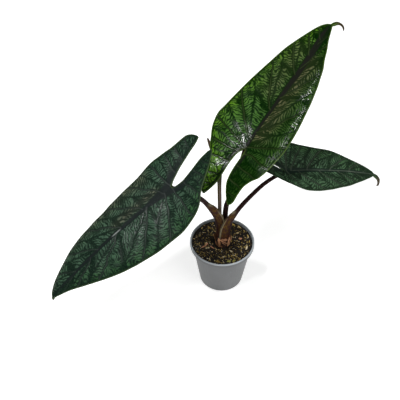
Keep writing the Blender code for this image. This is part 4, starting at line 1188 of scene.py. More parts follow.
def blade_material(name, finish):
    """Ribbed skin: dark ground with fine flecks, lighter net, smooth rib band, brown flush, pale margin.

    The net over the dark ground is partly the blade's own colour and partly painted shade between the
    ridges and painted light on them. The vein grooves and the right half get painted shade; the left
    leaf's midrib line and one bronze zone are painted highlights, and the centre leaf's left lobe gets
    painted light.
    """
    skin = Shader(name, Specular_IOR_Level=finish.gloss, Coat_Roughness=0.20)
    at = skin.place()
    net, groove, cord, under = (skin.mark(key) for key in ("net", "groove", "cord", "under"))
    mottle = skin.noise("leaf mottle", at)
    fine = skin.noise("leaf grain", at)
    creases = skin.noise("leaf creases", at).smooth(0.26, 0.54)
    flecks = skin.noise("leaf flecks", at).smooth(0.48, 0.66)
    ridge = skin.mix(finish.ridge, finish.flush, skin.mark("flush") * (mottle * 1.6))
    ridge = skin.mix(dimmed(finish.ridge, 0.45), ridge, mottle.smooth(0.30, 0.56))
    # painted shade: the right half's ridges take the ground's colour
    ridge = skin.mix(ridge, finish.ground, skin.mark("right") * finish.right_shade)
    # The ridges' lighter colour over the dark ground is partly the blade's own colour and partly painted
    # shade between the ridges and painted light on their tops.
    pale = (net.smooth(0.45, 0.82) + finish.flecks * flecks) * (0.30 + 0.70 * creases)
    tint = skin.mix(finish.ground, ridge, pale)
    warm = skin.mix(finish.ground, finish.bronze, 0.10 + 0.90 * net.smooth(0.50, 0.98) * creases)
    below = skin.mix(finish.under, dimmed(finish.under, 0.5), groove.smooth(0.2, 0.9))
    for layer, cover in (
            # brown flush, and beside the left leaf's midrib a painted highlight
            (warm, skin.mark("bronze") * mottle.smooth(0.10, 0.45)),
            (finish.rib, skin.mark("band") * 0.9),
            # painted shade in the grooves over the side veins
            (dimmed(finish.ground, 0.35), groove * finish.sunk),
            (finish.vein, cord * (2.0 * finish.line * mottle)),
            # on the left blade the crest is a painted highlight
            (finish.vein, skin.mark("crest") * (2.0 * finish.crest * mottle)),
            (finish.margin, skin.mark("edge") * 0.8),
            (below, under),
            (DRY_TIP, skin.mark("dry")),
            (BLACK, 0.25 * fine)):
        tint = skin.mix(tint, layer, cover)
    rough = finish.roughness + 0.16 * (1 - net) * fine + 0.12 * skin.mark("band") + 0.3 * under
    return skin.finish(tint, rough, skin.bump(fine + 0.8 * mottle, 0.00010, 0.35),
                       skin.mark("shine") * mottle.smooth(0.34, 0.54))


# Stalks

def seat_plane(leaf):
    """Point just under the blade's rib at the seat, and the blade's normal there."""
    point, _, _, up = midrib(leaf, np.array([0.0]))
    return point[0] - up[0] * (BLADE_THICKNESS + RIB_HEIGHT + GAP), up[0]


def section(path, radius, wing, wing_side, rings, sides):
    """A stalk's rings: its line, the distances along it, the corners' angles, their places from the
    line, and how far the wing stands out at each ring.

    The section is a circle that bulges to one side as a power of the cosine, as far as wing says.
    The angles crowd toward that side, where the sheath's thin margins are.
    """
    foot = np.array(path[0]) - (0, 0, FOOT_SINK)
    line, run = space_curve((tuple(foot), *path[1:]), rings)
    tangent = unit(np.gradient(line, axis=0))
    wide = through(radius, run * radius[-1][0] / run[-1])
    stand = through(wing, run)
    angle = around(sides)
    angle = angle - CROWDING * np.sin(angle)
    x = unit(np.array(wing_side) - tangent * (tangent @ np.array(wing_side))[:, None])
    y = np.cross(tangent, x)
    reach_x = wide[:, None] * np.cos(angle) + stand[:, None] * np.clip(np.cos(angle), 0, None) ** BULGE_POWER
    reach_y = (wide * (1 - FLATTENING * np.clip(stand / FULL_STAND, 0, 1)))[:, None] * np.sin(angle)
    across = x[:, None, :] * reach_x[..., None] + y[:, None, :] * reach_y[..., None]
    return line, run, angle, across, stand


def stalk_piece(name, run, angle, points, material, slot, marks):
    """Writes a stalk from its rings of points, each end closed by a fan to its middle.

    A mark may hold one value for each ring, for each corner or for each point.
    """
    shape = points.shape[:2]
    marks = {key: np.broadcast_to(value, shape) for key, value in marks.items()}
    marks = {key: np.concatenate([value.ravel(), [value[0].mean(), value[-1].mean()]])
             for key, value in marks.items()}
    vertices = np.concatenate([points.reshape(-1, 3), [points[0].mean(axis=0), points[-1].mean(axis=0)]])
    flat = np.stack(np.broadcast_arrays(run[:, None] / FLAT_SIZE, angle / FLAT_TURNS), axis=-1)
    flat = np.concatenate([flat.reshape(-1, 2), flat[0, :1], flat[-1, :1]])
    return make_piece(name, vertices, tube_faces(*shape), material, slot, (name.replace("_skin", ""),),
                      flat_map=flat, **marks)


def make_petiole(name, leaf, finish, material, rings=190, sides=84):
    """A petiole whose foot widens into a sheath with two thin margins and a nub where they end.

    Each margin is a ridge along the sheath: its height over the section is the bell of the angle
    from it. A shallow groove runs between the two, and the nub is a bell along and round.
    """
    top, up = seat_plane(leaf)
    line, run, angle, across, stand = section(
        (*leaf.petiole, tuple(top + up * SEAT_REACH)), leaf.radius, leaf.wing, leaf.wing_side, rings, sides)
    along, stand = run[:, None], stand[:, None]
    sheath_end = leaf.wing[-2][0]
    on_sheath = np.clip(stand / FULL_LIP, 0, 1)
    turned_by = np.minimum(angle, 2 * math.pi - angle)
    past_sheath, nub_length = NUB_PLACE
    nub = bell(along - sheath_end - past_sheath, nub_length) * (leaf.wing[0][1] > LEAST_SHEATH)
    nub = nub * bell(turned_by, NUB_ANGLE)
    lip_angle, lip_width = LIP
    lips = bell(turned_by - lip_angle, lip_width)
    seam_depth, seam_width = SEAM
    raised = (lips * finish.lip_height / MM - seam_depth * bell(turned_by, seam_width)) * on_sheath
    flutes, flute_height = FLUTES
    seed, drift, wavelength = FLUTE_DRIFT
    flute = flute_height * np.sin(flutes * angle + drift * ripple(seed, along, 0 * along, wavelength))
    raised = raised + NUB_HEIGHT * nub + flute
    points = line[:, None, :] + across + unit(across) * raised[..., None]
    lip_share, lip_fade = LIP_END
    papery = lips * on_sheath * fall(along, lip_share * sheath_end, lip_fade) + NUB_COLOUR * nub
    marks = {"lip": np.clip(papery, 0, 1),
             "sheath": rise(np.cos(angle), -0.05, 0.5) * np.clip(stand / FULL_SHEATH, 0, 1),
             # seat carries painted shade under the blade; foot is the foot's own red
             "foot": bell(along, END_MARK), "seat": bell(run[-1] - along, END_MARK)}
    return stalk_piece(name + "_petiole_skin", run, angle, points, material, "petiole", marks)


def make_new_leaf(material, rings=170, sides=56):
    """The rolled new leaf: a spindle whose radius grows round it and steps back at its edge.

    That edge climbs round it evenly. Below the leaf is its plain round stalk.
    """
    line, run, angle, across, _ = section(NEW_LEAF_PATH, NEW_LEAF_RADIUS, NO_WING, FRONT, rings, sides)
    along = run[:, None]
    spiral = (angle / (2 * math.pi) + along / ROLLED_PITCH) % 1.0
    rolled = rise(along, *ROLLED_FROM)
    ridges, ridge_height = ROLLED_RIDGES
    grow = 1 + ROLLED_STEP * (spiral - 0.5) * rolled + ridge_height * np.sin(ridges * angle)
    points = line[:, None, :] + across * grow[..., None]
    stripe_at, stripe_width = STRIPE_SIDE
    green_at, green_length = GREEN_AT
    tip_start, tip_length = TIP_LENGTH
    marks = {"stripe": bell(np.cos(angle - stripe_at) - 1, stripe_width),
             "side": rise(np.sin(angle), -0.5),
             "foot": bell(along - green_at, green_length),
             "rolled": rolled,
             "tip": rise(along, run[-1] - tip_start, tip_length)}
    return stalk_piece("new_leaf_skin", run, angle, points, material, "rolled_leaf", marks)


def petiole_material(finish):
    """Dark mottled petiole that turns olive on the sheath, with papery margins and painted shade at the seat.
    """
    skin = Shader("petiole skin", Specular_IOR_Level=0.08)
    flat = skin.flat()
    flecks = skin.noise("petiole flecks", flat).smooth(0.50, 0.66)
    streak = skin.noise("petiole streaks", flat)
    blots = skin.noise("petiole blots", flat)
    sheath, lip = skin.mark("sheath"), skin.mark("lip")
    tint = skin.mix(finish.stalk, finish.mottle, flecks * 0.55)
    olive = skin.mix(dimmed(finish.sheath, 0.30), finish.sheath, streak.smooth(0.36, 0.58))
    olive = skin.mix(finish.mottle, olive, blots.smooth(0.42, 0.58))
    tint = skin.mix(tint, olive, sheath)
    tint = skin.mix(tint, RED_FOOT, skin.mark("foot") * 0.6)
    # painted shade: the petiole darkens under the blade at its seat
    tint = skin.mix(tint, dimmed(finish.stalk, 0.4), skin.mark("seat") * 0.8)
    tint = skin.mix(tint, finish.lip, lip * (0.40 + 0.8 * streak))
    rough = 0.42 + 0.2 * sheath + 0.15 * lip + 0.15 * streak
    return skin.finish(tint, rough, skin.bump(streak + 0.3 * flecks, 0.0002, 0.6))


def new_leaf_material(finish):
    """Brown stalk, redder on its right, with a pale stripe that is green low down; darker rolled leaf."""
    skin = Shader("rolled leaf skin", Specular_IOR_Level=0.07)
    streak = skin.noise("rolled leaf streaks", skin.flat())
    tint = skin.mix(finish.rolled, finish.shade, skin.mark("side"))
    tint = skin.mix(tint, dimmed(finish.rolled, 0.4), streak.smooth(0.4, 0.7) * 0.7)
    pale = skin.mix(finish.stripe, GREEN_FOOT, skin.mark("foot"))
    tint = skin.mix(tint, pale, skin.mark("stripe") * 0.50)
    tint = skin.mix(tint, ROLLED_GREEN, skin.mark("rolled") * 0.8)
    tint = skin.mix(tint, ROLLED_TIP, skin.mark("tip") * 0.8)
    return skin.finish(tint, 0.35 + 0.2 * streak, skin.bump(streak, 0.0002, 0.5))


# Stem base

def turned(profile, sides, centre):
    """Surface turned about an upright axis: rings at each (radius, height), and a pole at each end."""
    profile = np.array(profile, float)
    angle = around(sides)
    radius, height = profile[1:-1, :1], profile[1:-1, 1:]
    rings = np.stack([centre[0] + radius * np.cos(angle), centre[1] + radius * np.sin(angle),
                      height + 0 * angle], axis=-1)
    poles = [(*centre, profile[0, 1]), (*centre, profile[-1, 1])]
    return np.concatenate([rings.reshape(-1, 3), poles]), tube_faces(len(radius), sides)


def make_stem_base(material):
    """The stem base, ringed with old leaf scars: its radius ripples with height and round the stem."""
    heights = np.concatenate([[STEM_FOOT, STEM_FOOT + 4, 38.0], np.linspace(SCARS_START, STEM_TOP, 60)])
    radius = np.interp(heights, *np.array(STEM_PROFILE).T)
    scar_height, scar_waves = SCARS
    radius += scar_height * np.sin(heights * scar_waves) * rise(heights, SCARS_START, 2.0)
    profile = [(0.0, STEM_FOOT), *zip(radius, heights), (0.0, STEM_TOP)]
    vertices, faces = turned(profile, 96, STEM_AXIS)
    angle = np.arctan2(vertices[:, 1] - STEM_AXIS[1], vertices[:, 0] - STEM_AXIS[0])
    rough = 0.16 * ripple(9, angle * 5.5, vertices[:, 2], 2.4) * (vertices[:, 2] > SCARS_START)
    vertices[:, :2] += rough[:, None] * np.stack([np.cos(angle), np.sin(angle)], axis=1)
    return make_piece("stem_base_skin", vertices, faces, material, "stem_skin", ("stem_base",))


def strip_table():
    """The front strips, and more drawn at random round the back."""
    draw = np.random.default_rng(STRIP_SEED)
    first, arc = BACK_ARC
    rest = []
    for k in range(BACK_STRIPS):
        foot = SOIL_CENTRE + draw.uniform(1.2, 1.7)
        rest.append((first + arc * (k + draw.uniform(0.2, 0.8)) / BACK_STRIPS, draw.uniform(0.20, 0.34), foot,
                     foot + draw.uniform(3.5, 9.5), draw.uniform(0.2, 1.1), draw.uniform(-0.2, 0.2),
                     draw.uniform(0.3, 0.9)))
    return [*FRONT_STRIPS, *rest]


def make_scales(material):
    """Torn papery strips round the stem base, each a thin closed ribbon that narrows to a ragged point.

    A strip's place is a turn round the stem, which widens with its half-width, and a radius that
    follows the frame's own flared ring and peels away toward the tip.
    """
    along, across = np.linspace(0.0, 1.0, 26)[:, None], np.linspace(-1.0, 1.0, 11)[None, :]
    taper = (1 - along ** 2.6) ** 0.8
    vertices, groups, heights, tones, offset = [], [], [], [], 0
    for k, (middle, half, foot, top, peel, lean, tone) in enumerate(strip_table()):
        ragged = 1 + 0.18 * ripple(40 + k, along * 9, across * 2, 2.2)
        turn = math.radians(middle) + half * across * (0.30 + 0.70 * taper) * ragged + lean * along
        torn = 0.06 * ripple(60 + k, along * 2, across * 3, 2.5) * along ** 4
        height = foot + (top - foot) * (along + torn)
        flare, flare_foot, flare_over = SCALE_FLARE
        flare = flare * rise(height, flare_foot, flare_over) + 0.12 * (k % 3)
        bow = 0.30 * (1 - across ** 2) + 0.10 * ripple(80 + k, across * 4, along * 2, 2.0)
        radius = STEM_RADIUS + SCALE_REST + flare + peel * along ** 2 + bow
        outer, inner = (np.stack([STEM_AXIS[0] + r * np.cos(turn), STEM_AXIS[1] + r * np.sin(turn),
                                  height + 0 * turn], axis=-1) for r in (radius, radius - SCALE_THICKNESS))
        rows, columns = turn.shape
        loop = np.concatenate([np.arange(columns), np.arange(columns)[::-1] + columns]) + offset
        index = (np.arange(rows) * 2 * columns)[:, None] + loop
        index = np.concatenate([index, index[:, :1]], axis=1)
        vertices.append(np.concatenate([outer, inner], axis=1).reshape(-1, 3))
        groups.append(quads_of(index))
        for row, flip in ((0, False), (rows - 1, True)):
            cap = np.stack([index[row, :columns - 1], index[row, 2 * columns - 1:columns:-1],
                            index[row, 2 * columns - 2:columns - 1:-1], index[row, 1:columns]], axis=1)
            groups.append(cap[:, ::-1] if flip else cap)
        heights.append(np.repeat(along, 2 * columns))
        tones.append(np.full(2 * rows * columns, tone))
        offset += 2 * rows * columns
    return make_piece("dry_scale_strips", np.concatenate(vertices), groups, material, "dry_scale",
                      ("dry_scales",), height=np.concatenate(heights), tone=np.concatenate(tones))


def stem_material(finish):
    """Reddish-brown skin with dark rings."""
    skin = Shader("stem base skin")
    rings = skin.noise("stem rings")
    tint = skin.mix(dimmed(finish.skin, 0.3), finish.skin, rings.smooth(0.35, 0.62))
    return skin.finish(tint, 0.72 + 0.2 * rings, skin.bump(rings, 0.0005, 0.8))


def scale_material(finish):
    """Dry paper with fibres up it: each strip's tone takes it from dark red to pale, darker at its foot."""
    skin = Shader("papery scale", Specular_IOR_Level=0.3)
    fibres = skin.noise("scale fibres")
    cover = (0.6 * fibres + 0.6 * skin.noise("scale blots")).smooth(0.34, 0.56)
    pale = skin.mix(finish.scale_shade, finish.scale, skin.mark("tone"))
    tint = skin.mix(dimmed(finish.scale_shade, 0.35), pale, cover)
    tint = skin.mix(tint, dimmed(finish.scale_shade, 0.6), (1 - skin.mark("height")) * 0.15)
    return skin.finish(tint, 0.62 + 0.3 * fibres, skin.bump(fibres, 0.0003, 0.8))


# Potting mix

def soil_lumps():
    """Centres, radii and heights of the frame's own lumps of mix, from its seeded draw, in mm."""
    draw = np.random.default_rng(LUMP_SEED)
    radius = LUMPS_REACH * np.sqrt(draw.uniform(0.08, 1.0, LUMPS))
    angle = draw.uniform(0.0, 2 * math.pi, LUMPS)
    size = draw.uniform(*LUMP_RADIUS, LUMPS)
    return radius * np.cos(angle), radius * np.sin(angle), size, size * draw.uniform(*LUMP_HEIGHT, LUMPS)


def soil_rise(x, y):
    """Height over the mix's mean level: the tallest round cap at a point, and crumbs of three sizes.

    A crumb field is the folded value of a smooth irregular one, which leaves creases between round tops.
    """
    cx, cy, size, tall = soil_lumps()
    tallest = np.zeros(np.shape(x))
    for k in range(LUMPS):
        near = 1 - ((x - cx[k]) ** 2 + (y - cy[k]) ** 2) / size[k] ** 2
        tallest = np.maximum(tallest, tall[k] * np.sqrt(np.clip(near, 0, 1)))
    crumbs = sum(height * (1 - np.abs(ripple(seed, x, y, wavelength))) for seed, height, wavelength in CRUMBS)
    return LUMPS_SHARE * tallest + crumbs - MEAN_RISE


def soil_level(radius):
    """Mean height of the mix at a distance from the pot's axis: it rises as a square from stem to rim."""
    t = np.clip((MIX_EDGE - radius) / (MIX_EDGE - MIX_HOLE), 0, 1)
    return SOIL_CENTRE + (SOIL_EDGE - SOIL_CENTRE) * (1 - t) ** 2


def soil_top(x, y):
    """Height of the crumbled top at a place: it is smooth for the last millimetre before the pot."""
    radius = np.hypot(x, y)
    return soil_level(radius) + soil_rise(x, y) * fall(radius, MIX_EDGE, 1.0)


def pot_inner(height):
    """Radius of the pot's tapered inner wall at a height."""
    return np.interp(height, [0.0, COLLAR_FOOT], [BASE_RADIUS, WALL_TOP_RADIUS]) - POT_WALL


def make_mix(material, sides=330, rings=112):
    """The body of potting mix: the frame's turned profile with a crumbled top."""
    floor = FOOT_RECESS + POT_WALL + GAP
    hole, hole_foot = MIX_HOLE - 0.2, STEM_FOOT - GAP
    low = [(0.0, floor), (pot_inner(floor) - 1.3, floor), (pot_inner(floor + 1.2) - GAP, floor + 1.2),
           (pot_inner(COLLAR_FOOT - 2.0) - GAP, COLLAR_FOOT - 2.0),
           (pot_inner(COLLAR_FOOT) + 0.1, COLLAR_FOOT + 0.85), (MIX_EDGE, COLLAR_FOOT + 0.95)]
    radius = np.linspace(MIX_EDGE, MIX_HOLE + 0.1, rings)
    profile = [*low, *zip(radius, soil_level(radius)), (hole, SOIL_CENTRE - 1.5), (hole, hole_foot),
               (0.0, hole_foot)]
    vertices, faces = turned(profile, sides, (0.0, 0.0))
    first = (len(low) - 1) * sides
    on_top = slice(first, first + rings * sides)
    vertices[on_top, 2] = soil_top(vertices[on_top, 0], vertices[on_top, 1])
    return make_piece("potting_mix_body", vertices, faces, material, "potting_mix", ("soil",))


def scatter(draw, count, inner=7.2, outer=27.6):
    """Random places on the mix, evenly spread, with the mix's height there."""
    radius = np.sqrt(draw.uniform(inner ** 2, outer ** 2, count))
    angle = draw.uniform(0.0, 2 * math.pi, count)
    x, y = radius * np.cos(angle), radius * np.sin(angle)
    return x, y, soil_top(x, y)


def turned_boxes(yaw, pitch, roll):
    """Rotation matrices, one for each piece: roll, then pitch, then yaw."""
    cy, cp, cr = np.cos(yaw), np.cos(pitch), np.cos(roll)
    sy, sp, sr = np.sin(yaw), np.sin(pitch), np.sin(roll)
    return np.stack([
        np.stack([cy * cp, cy * sp * sr - sy * cr, cy * sp * cr + sy * sr], axis=-1),
        np.stack([sy * cp, sy * sp * sr + cy * cr, sy * sp * cr - cy * sr], axis=-1),
        np.stack([-sp, cp * sr, cp * cr], axis=-1)], axis=-2)


def make_chips(name, count, seed, sizes, tones, material, given=()):
    """Bark chips or grains: rough six-sided lumps, drawn long, thin or round, lying on the mix.

    A lump is two rings of six corners between an upper and a lower point, each corner moved by its
    own factors. sizes, tones and given are as in BITS, and given bits take the place of the first.
    """
    draw = np.random.default_rng(seed)
    ring, level = around(6), np.full(6, 0.42)
    lump = np.concatenate([[[0, 0, 1]], np.stack([np.cos(ring), np.sin(ring), level], axis=1),
                           np.stack([np.cos(ring + 0.5), np.sin(ring + 0.5), -level], axis=1), [[0, 0, -1]]])
    jitter = 1 + draw.uniform(-0.3, 0.3, (count, len(lump), 3))
    half = np.stack([draw.uniform(*pair, count) for pair in sizes], axis=1)
    x, y, z = scatter(draw, count)
    yaw, tone = draw.uniform(0, 2 * math.pi, count), draw.uniform(*tones, count)
    if given:
        first = slice(0, len(given))
        x[first], y[first], turn, long_half, wide_half, tone[first] = np.array(given, float).T
        yaw[first] = np.radians(turn)
        half[first] = np.stack([long_half, wide_half, 0.5 * wide_half], axis=1)
        z[first] = soil_top(x[first], y[first]) + 0.3
    turn = turned_boxes(yaw, draw.normal(0, 0.16, count), draw.normal(0, 0.3, count))
    points = np.einsum("nij,nkj->nki", turn, lump * jitter * half[:, None, :])
    pull = np.minimum(1.0, CHIPS_REACH / (np.hypot(x, y) + half[:, 0]))
    centre = np.stack([x * pull, y * pull, z + 0.35 * half[:, 2]], axis=1)
    vertices = (points + centre[:, None, :]).reshape(-1, 3)
    upper = 1 + np.arange(6)
    after = 1 + (upper % 6)
    lower, last = upper + 6, len(lump) - 1
    faces = np.concatenate([np.stack(np.broadcast_arrays(*corners), axis=1) for corners in (
        (0, upper, after), (upper, lower, after), (after, lower, after + 6), (last, after + 6, lower))])
    groups = [(faces[None] + (np.arange(count) * len(lump))[:, None, None]).reshape(-1, 3)]
    return make_piece(name, vertices, groups, material, "potting_mix", smooth=False,
                      tone=np.repeat(tone, len(lump)))


def make_fibres(count, material):
    """Coir fibres: thin four-sided tubes along shallow random arcs that lie on the mix.

    An arc is a parabola with a slight wave, kept between the pot's wall and the stem base.
    """
    draw = np.random.default_rng(FIBRE_SEED)
    rings, sides = 9, 4
    t = np.linspace(-1.0, 1.0, rings)
    x, y, _ = scatter(draw, count, 7.5, 26.2)
    yaw = draw.uniform(0, 2 * math.pi, count)[:, None]
    half = draw.uniform(0.4, 1.5, count)[:, None]
    bow = draw.uniform(-0.25, 0.25, count)[:, None] * half
    along = half * t
    aside = bow * (1 - t ** 2) + 0.12 * half * np.sin(5 * t + yaw)
    px = x[:, None] + along * np.cos(yaw) - aside * np.sin(yaw)
    py = y[:, None] + along * np.sin(yaw) + aside * np.cos(yaw)
    pull = np.minimum(1.0, FIBRES_REACH / np.hypot(px, py))
    px, py = px * pull, py * pull
    push = np.maximum(1.0, FIBRES_START / np.hypot(px - STEM_AXIS[0], py - STEM_AXIS[1]))
    px, py = px * push, py * push
    pz = soil_top(px, py) + 0.10 + draw.uniform(0.0, 0.5, count)[:, None] * (1 - t ** 2)
    line = np.stack([px, py, pz], axis=-1)
    tangent = unit(np.gradient(line, axis=1))
    first = unit(np.cross(tangent, [0.0, 0.0, 1.0]))
    second = np.cross(tangent, first)
    thick = draw.uniform(0.12, 0.32, count)[:, None] * (1 - 0.55 * np.abs(t) ** 3)
    angle = around(sides)[:, None]
    ring = first[:, :, None, :] * np.cos(angle) + second[:, :, None, :] * np.sin(angle)
    points = line[:, :, None, :] + ring * thick[:, :, None, None]
    index = wrapped(rings, sides)
    caps = np.array([index[0, :sides], index[-1, :sides][::-1]])
    shift = (np.arange(count) * rings * sides)[:, None, None]
    groups = [(part[None] + shift).reshape(-1, 4) for part in (quads_of(index), caps)]
    tone = np.repeat(draw.uniform(0.25, 1.0, count), rings * sides)
    return make_piece("coir_fibres", points.reshape(-1, 3), groups, material, "potting_mix", tone=tone)


def mix_material(finish):
    """Damp dark mix with drier crumbs."""
    soil = Shader("potting mix", Specular_IOR_Level=0.35)
    crumbs = soil.noise("mix crumbs")
    dry = (0.6 * crumbs + 0.5 * soil.noise("mix patches")).smooth(0.52, 0.72)
    return soil.finish(soil.mix(finish.mix, finish.crumb, dry), 0.75 + 0.2 * crumbs,
                       soil.bump(crumbs, 0.0008, 0.9))


def bit_material(name, tones, rough):
    """Finish of the bits on the mix: each one's tone picks its colour, and fine grain breaks it."""
    bit = Shader(name, Specular_IOR_Level=0.15)
    grain = bit.noise("bit grain")
    tint = bit.node("ShaderNodeValToRGB", {"stops": tones}, {"Fac": bit.mark("tone")})
    tint = bit.mix(tint, DUST, (1 - grain) * 0.35)
    return bit.finish(tint, rough + 0.15 * grain, bit.bump(grain, 0.0003, 0.8))


# Pot

def pot_material(finish):
    """Thin injection-moulded plastic: fine grain, faint turned lines and dried splashes, with a painted
    highlight on the rim and painted light on the inner wall.

    The rim's painted highlight and the painted light on the inner wall are steps of the height and of
    the radius, the root of x^2 + y^2. The turned lines are the sine of the height.
    """
    plastic = Shader("grey pot plastic", Specular_IOR_Level=0.5)
    at = plastic.place()
    x, y, height = (plastic.node("ShaderNodeSeparateXYZ", {}, {"Vector": at}, output=k) for k in range(3))
    grain, cloud = plastic.noise("plastic grain", at), plastic.noise("plastic clouds", at)
    scuffs = plastic.noise("plastic scuffs", at).smooth(0.60, 0.74)
    radius = (x * x + y * y) ** 0.5
    # painted light on the inner wall above the mix
    inside = (1 - radius.smooth(*INSIDE_RADIUS)) * height.smooth(*INSIDE_HEIGHT)
    tint = plastic.mix(dimmed(finish.wall, 0.82), finish.wall, cloud.smooth(0.3, 0.7))
    # painted highlight on the rim, painted light on the inner wall, and the scuffs' real wear
    for cover in (height.smooth(*RIM_PAINTED_HIGHLIGHT) * 0.85, inside * 0.85, scuffs * 0.12):
        tint = plastic.mix(tint, finish.wear_and_painted_light, cover)
    relief = 0.5 * grain + 0.04 * (height * TURNED_LINES).sine() + 0.3 * cloud
    return plastic.finish(tint, finish.roughness + 0.12 * cloud + 0.1 * scuffs,
                          plastic.bump(relief, 0.00012, 0.6))


# Operators

class ALOCASIA_OT_pot(bpy.types.Operator):
    """Gives the pot its plastic"""
    bl_idname = "alocasia.pot"
    bl_label = "Pot"

    def execute(self, context):
        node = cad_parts["pot"]
        node.material_slots[0].material = pot_material(look("pot"))
        return {"FINISHED"}


class ALOCASIA_OT_blades(bpy.types.Operator):
    """Builds the three blades with their veins"""
    bl_idname = "alocasia.blades"
    bl_label = "Blades"

    def execute(self, context):
        for name, leaf in LEAVES.items():
            finish = look(name)
            material = blade_material(name.replace("_", " ") + " skin", finish)
            make_blade(name + "_blade_skin", leaf, finish, material, name.replace("leaf", "blade"))
        return {"FINISHED"}


class ALOCASIA_OT_stalks(bpy.types.Operator):
    """Builds the petioles with their sheaths, and the rolled new leaf"""
    bl_idname = "alocasia.stalks"
    bl_label = "Stalks"

    def execute(self, context):
        finish = look("stalks")
        material = petiole_material(finish)
        for name, leaf in LEAVES.items():
            make_petiole(name, leaf, finish, material)
        make_new_leaf(new_leaf_material(finish))
        return {"FINISHED"}


class ALOCASIA_OT_stem(bpy.types.Operator):
    """Builds the stem base and the torn scales round it"""
    bl_idname = "alocasia.stem"
    bl_label = "Stem base"

    def execute(self, context):
        finish = look("stem")
        make_stem_base(stem_material(finish))
        make_scales(scale_material(finish))
        return {"FINISHED"}


class ALOCASIA_OT_mix(bpy.types.Operator):
    """Builds the potting mix, with bark chips, fibres and grit on it"""
    bl_idname = "alocasia.mix"
    bl_label = "Potting mix"

    def execute(self, context):
        finish = look("soil")
        make_mix(mix_material(finish))
        bark = bit_material("bark chips", BARK_TONES, 0.7)
        for name, setting, seed, sizes, tones, given in BITS:
            make_chips(name, getattr(finish, setting), seed, sizes, tones, bark, given)
        make_fibres(finish.fibres, bit_material("coir fibre", COIR_TONES, 0.6))
        return {"FINISHED"}


class ALOCASIA_OT_stage(bpy.types.Operator):
    """Builds the floor, the soft lights, the surround and the camera"""
    bl_idname = "alocasia.stage"
    bl_label = "Stage"

    def execute(self, context):
        finish = look("stage")
        make_floor(finish)
        make_lights(finish)
        make_surround(finish)
        make_camera(finish)
        context.scene.view_settings.view_transform = "Standard"
        context.scene.view_settings.look = "None"
        return {"FINISHED"}


def make_floor(finish):
    """A plain pale sheet that gives a little light of itself."""
    paper = Shader("pale floor", Roughness=0.9, Specular_IOR_Level=0.0, Emission_Strength=finish.floor_glow)
    paper.feed(paper.surface.inputs["Emission Color"], WHITE)
    paper.finish(paper.mix(finish.floor, dimmed(finish.floor, 0.98), paper.noise("floor clouds")))
    corners = [(x * FLOOR_HALF, y * FLOOR_HALF, 0) for x, y in ((-1, -1), (1, -1), (1, 1), (-1, 1))]
    mesh = bpy.data.meshes.new("floor")
    mesh.from_pydata(corners, [], [(0, 1, 2, 3)])
    mesh.materials.append(paper.material)
    floor = placed("floor", mesh)


def aim(item, place, target):
    """Sets an object at a place, with its -Z toward a target and +Y up."""
    forward = unit(target - place)
    side = unit(np.cross(forward, [0.0, 0.0, 1.0]))
    matrix = np.eye(4)
    matrix[:3] = np.stack([side, np.cross(side, forward), -forward, place], axis=1)
    item.matrix_world = matrix.T.tolist()


def make_lights(finish):
    """Three wide soft lights and three small ones, each square, turned to the plant."""
    middle = np.array(LIT_POINT)
    for name, direction, away, size in LIGHTS:
        lamp = bpy.data.lights.new(name, "AREA")
        lamp.shape = "SQUARE"
        lamp.size = size
        lamp.energy = getattr(finish, name)
        aim(placed(name, lamp), middle + unit(np.array(direction)) * away, middle)


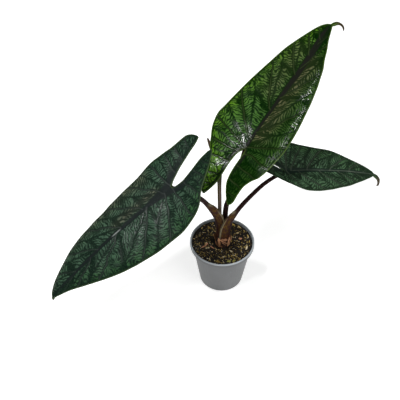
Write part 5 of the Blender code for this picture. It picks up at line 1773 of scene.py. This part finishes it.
def make_surround(finish):
    """A dim even surround that lights the plant, which the camera sees as the floor's white."""
    world = bpy.data.worlds.new("surround")
    world.use_nodes = True
    tree = world.node_tree
    tree.nodes.clear()
    mixed = tree.nodes.new("ShaderNodeMixShader")
    for socket, strength in ((1, finish.sky), (2, 1.0)):
        shade = tree.nodes.new("ShaderNodeBackground")
        shade.inputs["Color"].default_value = (*WHITE, 1.0)
        shade.inputs["Strength"].default_value = strength
        tree.links.new(shade.outputs[0], mixed.inputs[socket])
    rays = tree.nodes.new("ShaderNodeLightPath")
    out = tree.nodes.new("ShaderNodeOutputWorld")
    tree.links.new(rays.outputs["Is Camera Ray"], mixed.inputs[0])
    tree.links.new(mixed.outputs[0], out.inputs["Surface"])
    bpy.context.scene.world = world


def make_camera(finish):
    """The photo's view: a camera at a distance from its target, raised by the elevation."""
    lens = bpy.data.cameras.new("camera")
    lens.sensor_width = 36.0
    lens.lens = finish.lens
    lens.clip_start = 0.01
    camera = placed("camera", lens)
    target = np.array(CAMERA_TARGET)
    away = np.array([0.0, -math.cos(finish.elevation), math.sin(finish.elevation)])
    aim(camera, target + finish.distance * away, target)
    bpy.context.scene.camera = camera


class ALOCASIA_PT_panel(bpy.types.Panel):
    """Lists the pieces and what can be changed about them"""
    bl_idname = "ALOCASIA_PT_panel"
    bl_label = "Potted alocasia"
    bl_space_type = "VIEW_3D"
    bl_region_type = "UI"
    bl_category = "Alocasia"

    def draw(self, context):
        for operator in OPERATORS:
            self.layout.operator(operator.bl_idname)
        for name in LOOKS:
            box = self.layout.box()
            box.label(text=name.replace("_", " ").capitalize())
            group = look(name)
            for key in group.bl_rna.properties.keys():
                if key not in ("rna_type", "name"):
                    box.prop(group, key)


OPERATORS = (ALOCASIA_OT_stage, ALOCASIA_OT_pot, ALOCASIA_OT_mix, ALOCASIA_OT_stem, ALOCASIA_OT_stalks,
             ALOCASIA_OT_blades)


def register():
    """Makes the classes and the settings known to Blender."""
    for group in (*LOOKS.values(), *OPERATORS, ALOCASIA_PT_panel):
        bpy.utils.register_class(group)
    for name, group in LOOKS.items():
        setattr(bpy.types.Scene, "alocasia_" + name, bpy.props.PointerProperty(type=group))


def unregister():
    """Takes them out again."""
    for name in LOOKS:
        delattr(bpy.types.Scene, "alocasia_" + name)
    for group in reversed((*LOOKS.values(), *OPERATORS, ALOCASIA_PT_panel)):
        bpy.utils.unregister_class(group)


def main():
    """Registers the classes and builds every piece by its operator."""
    register()
    for operator in OPERATORS:
        group, name = operator.bl_idname.split(".")
        getattr(getattr(bpy.ops, group), name)()


if __name__ == "__main__":
    main()
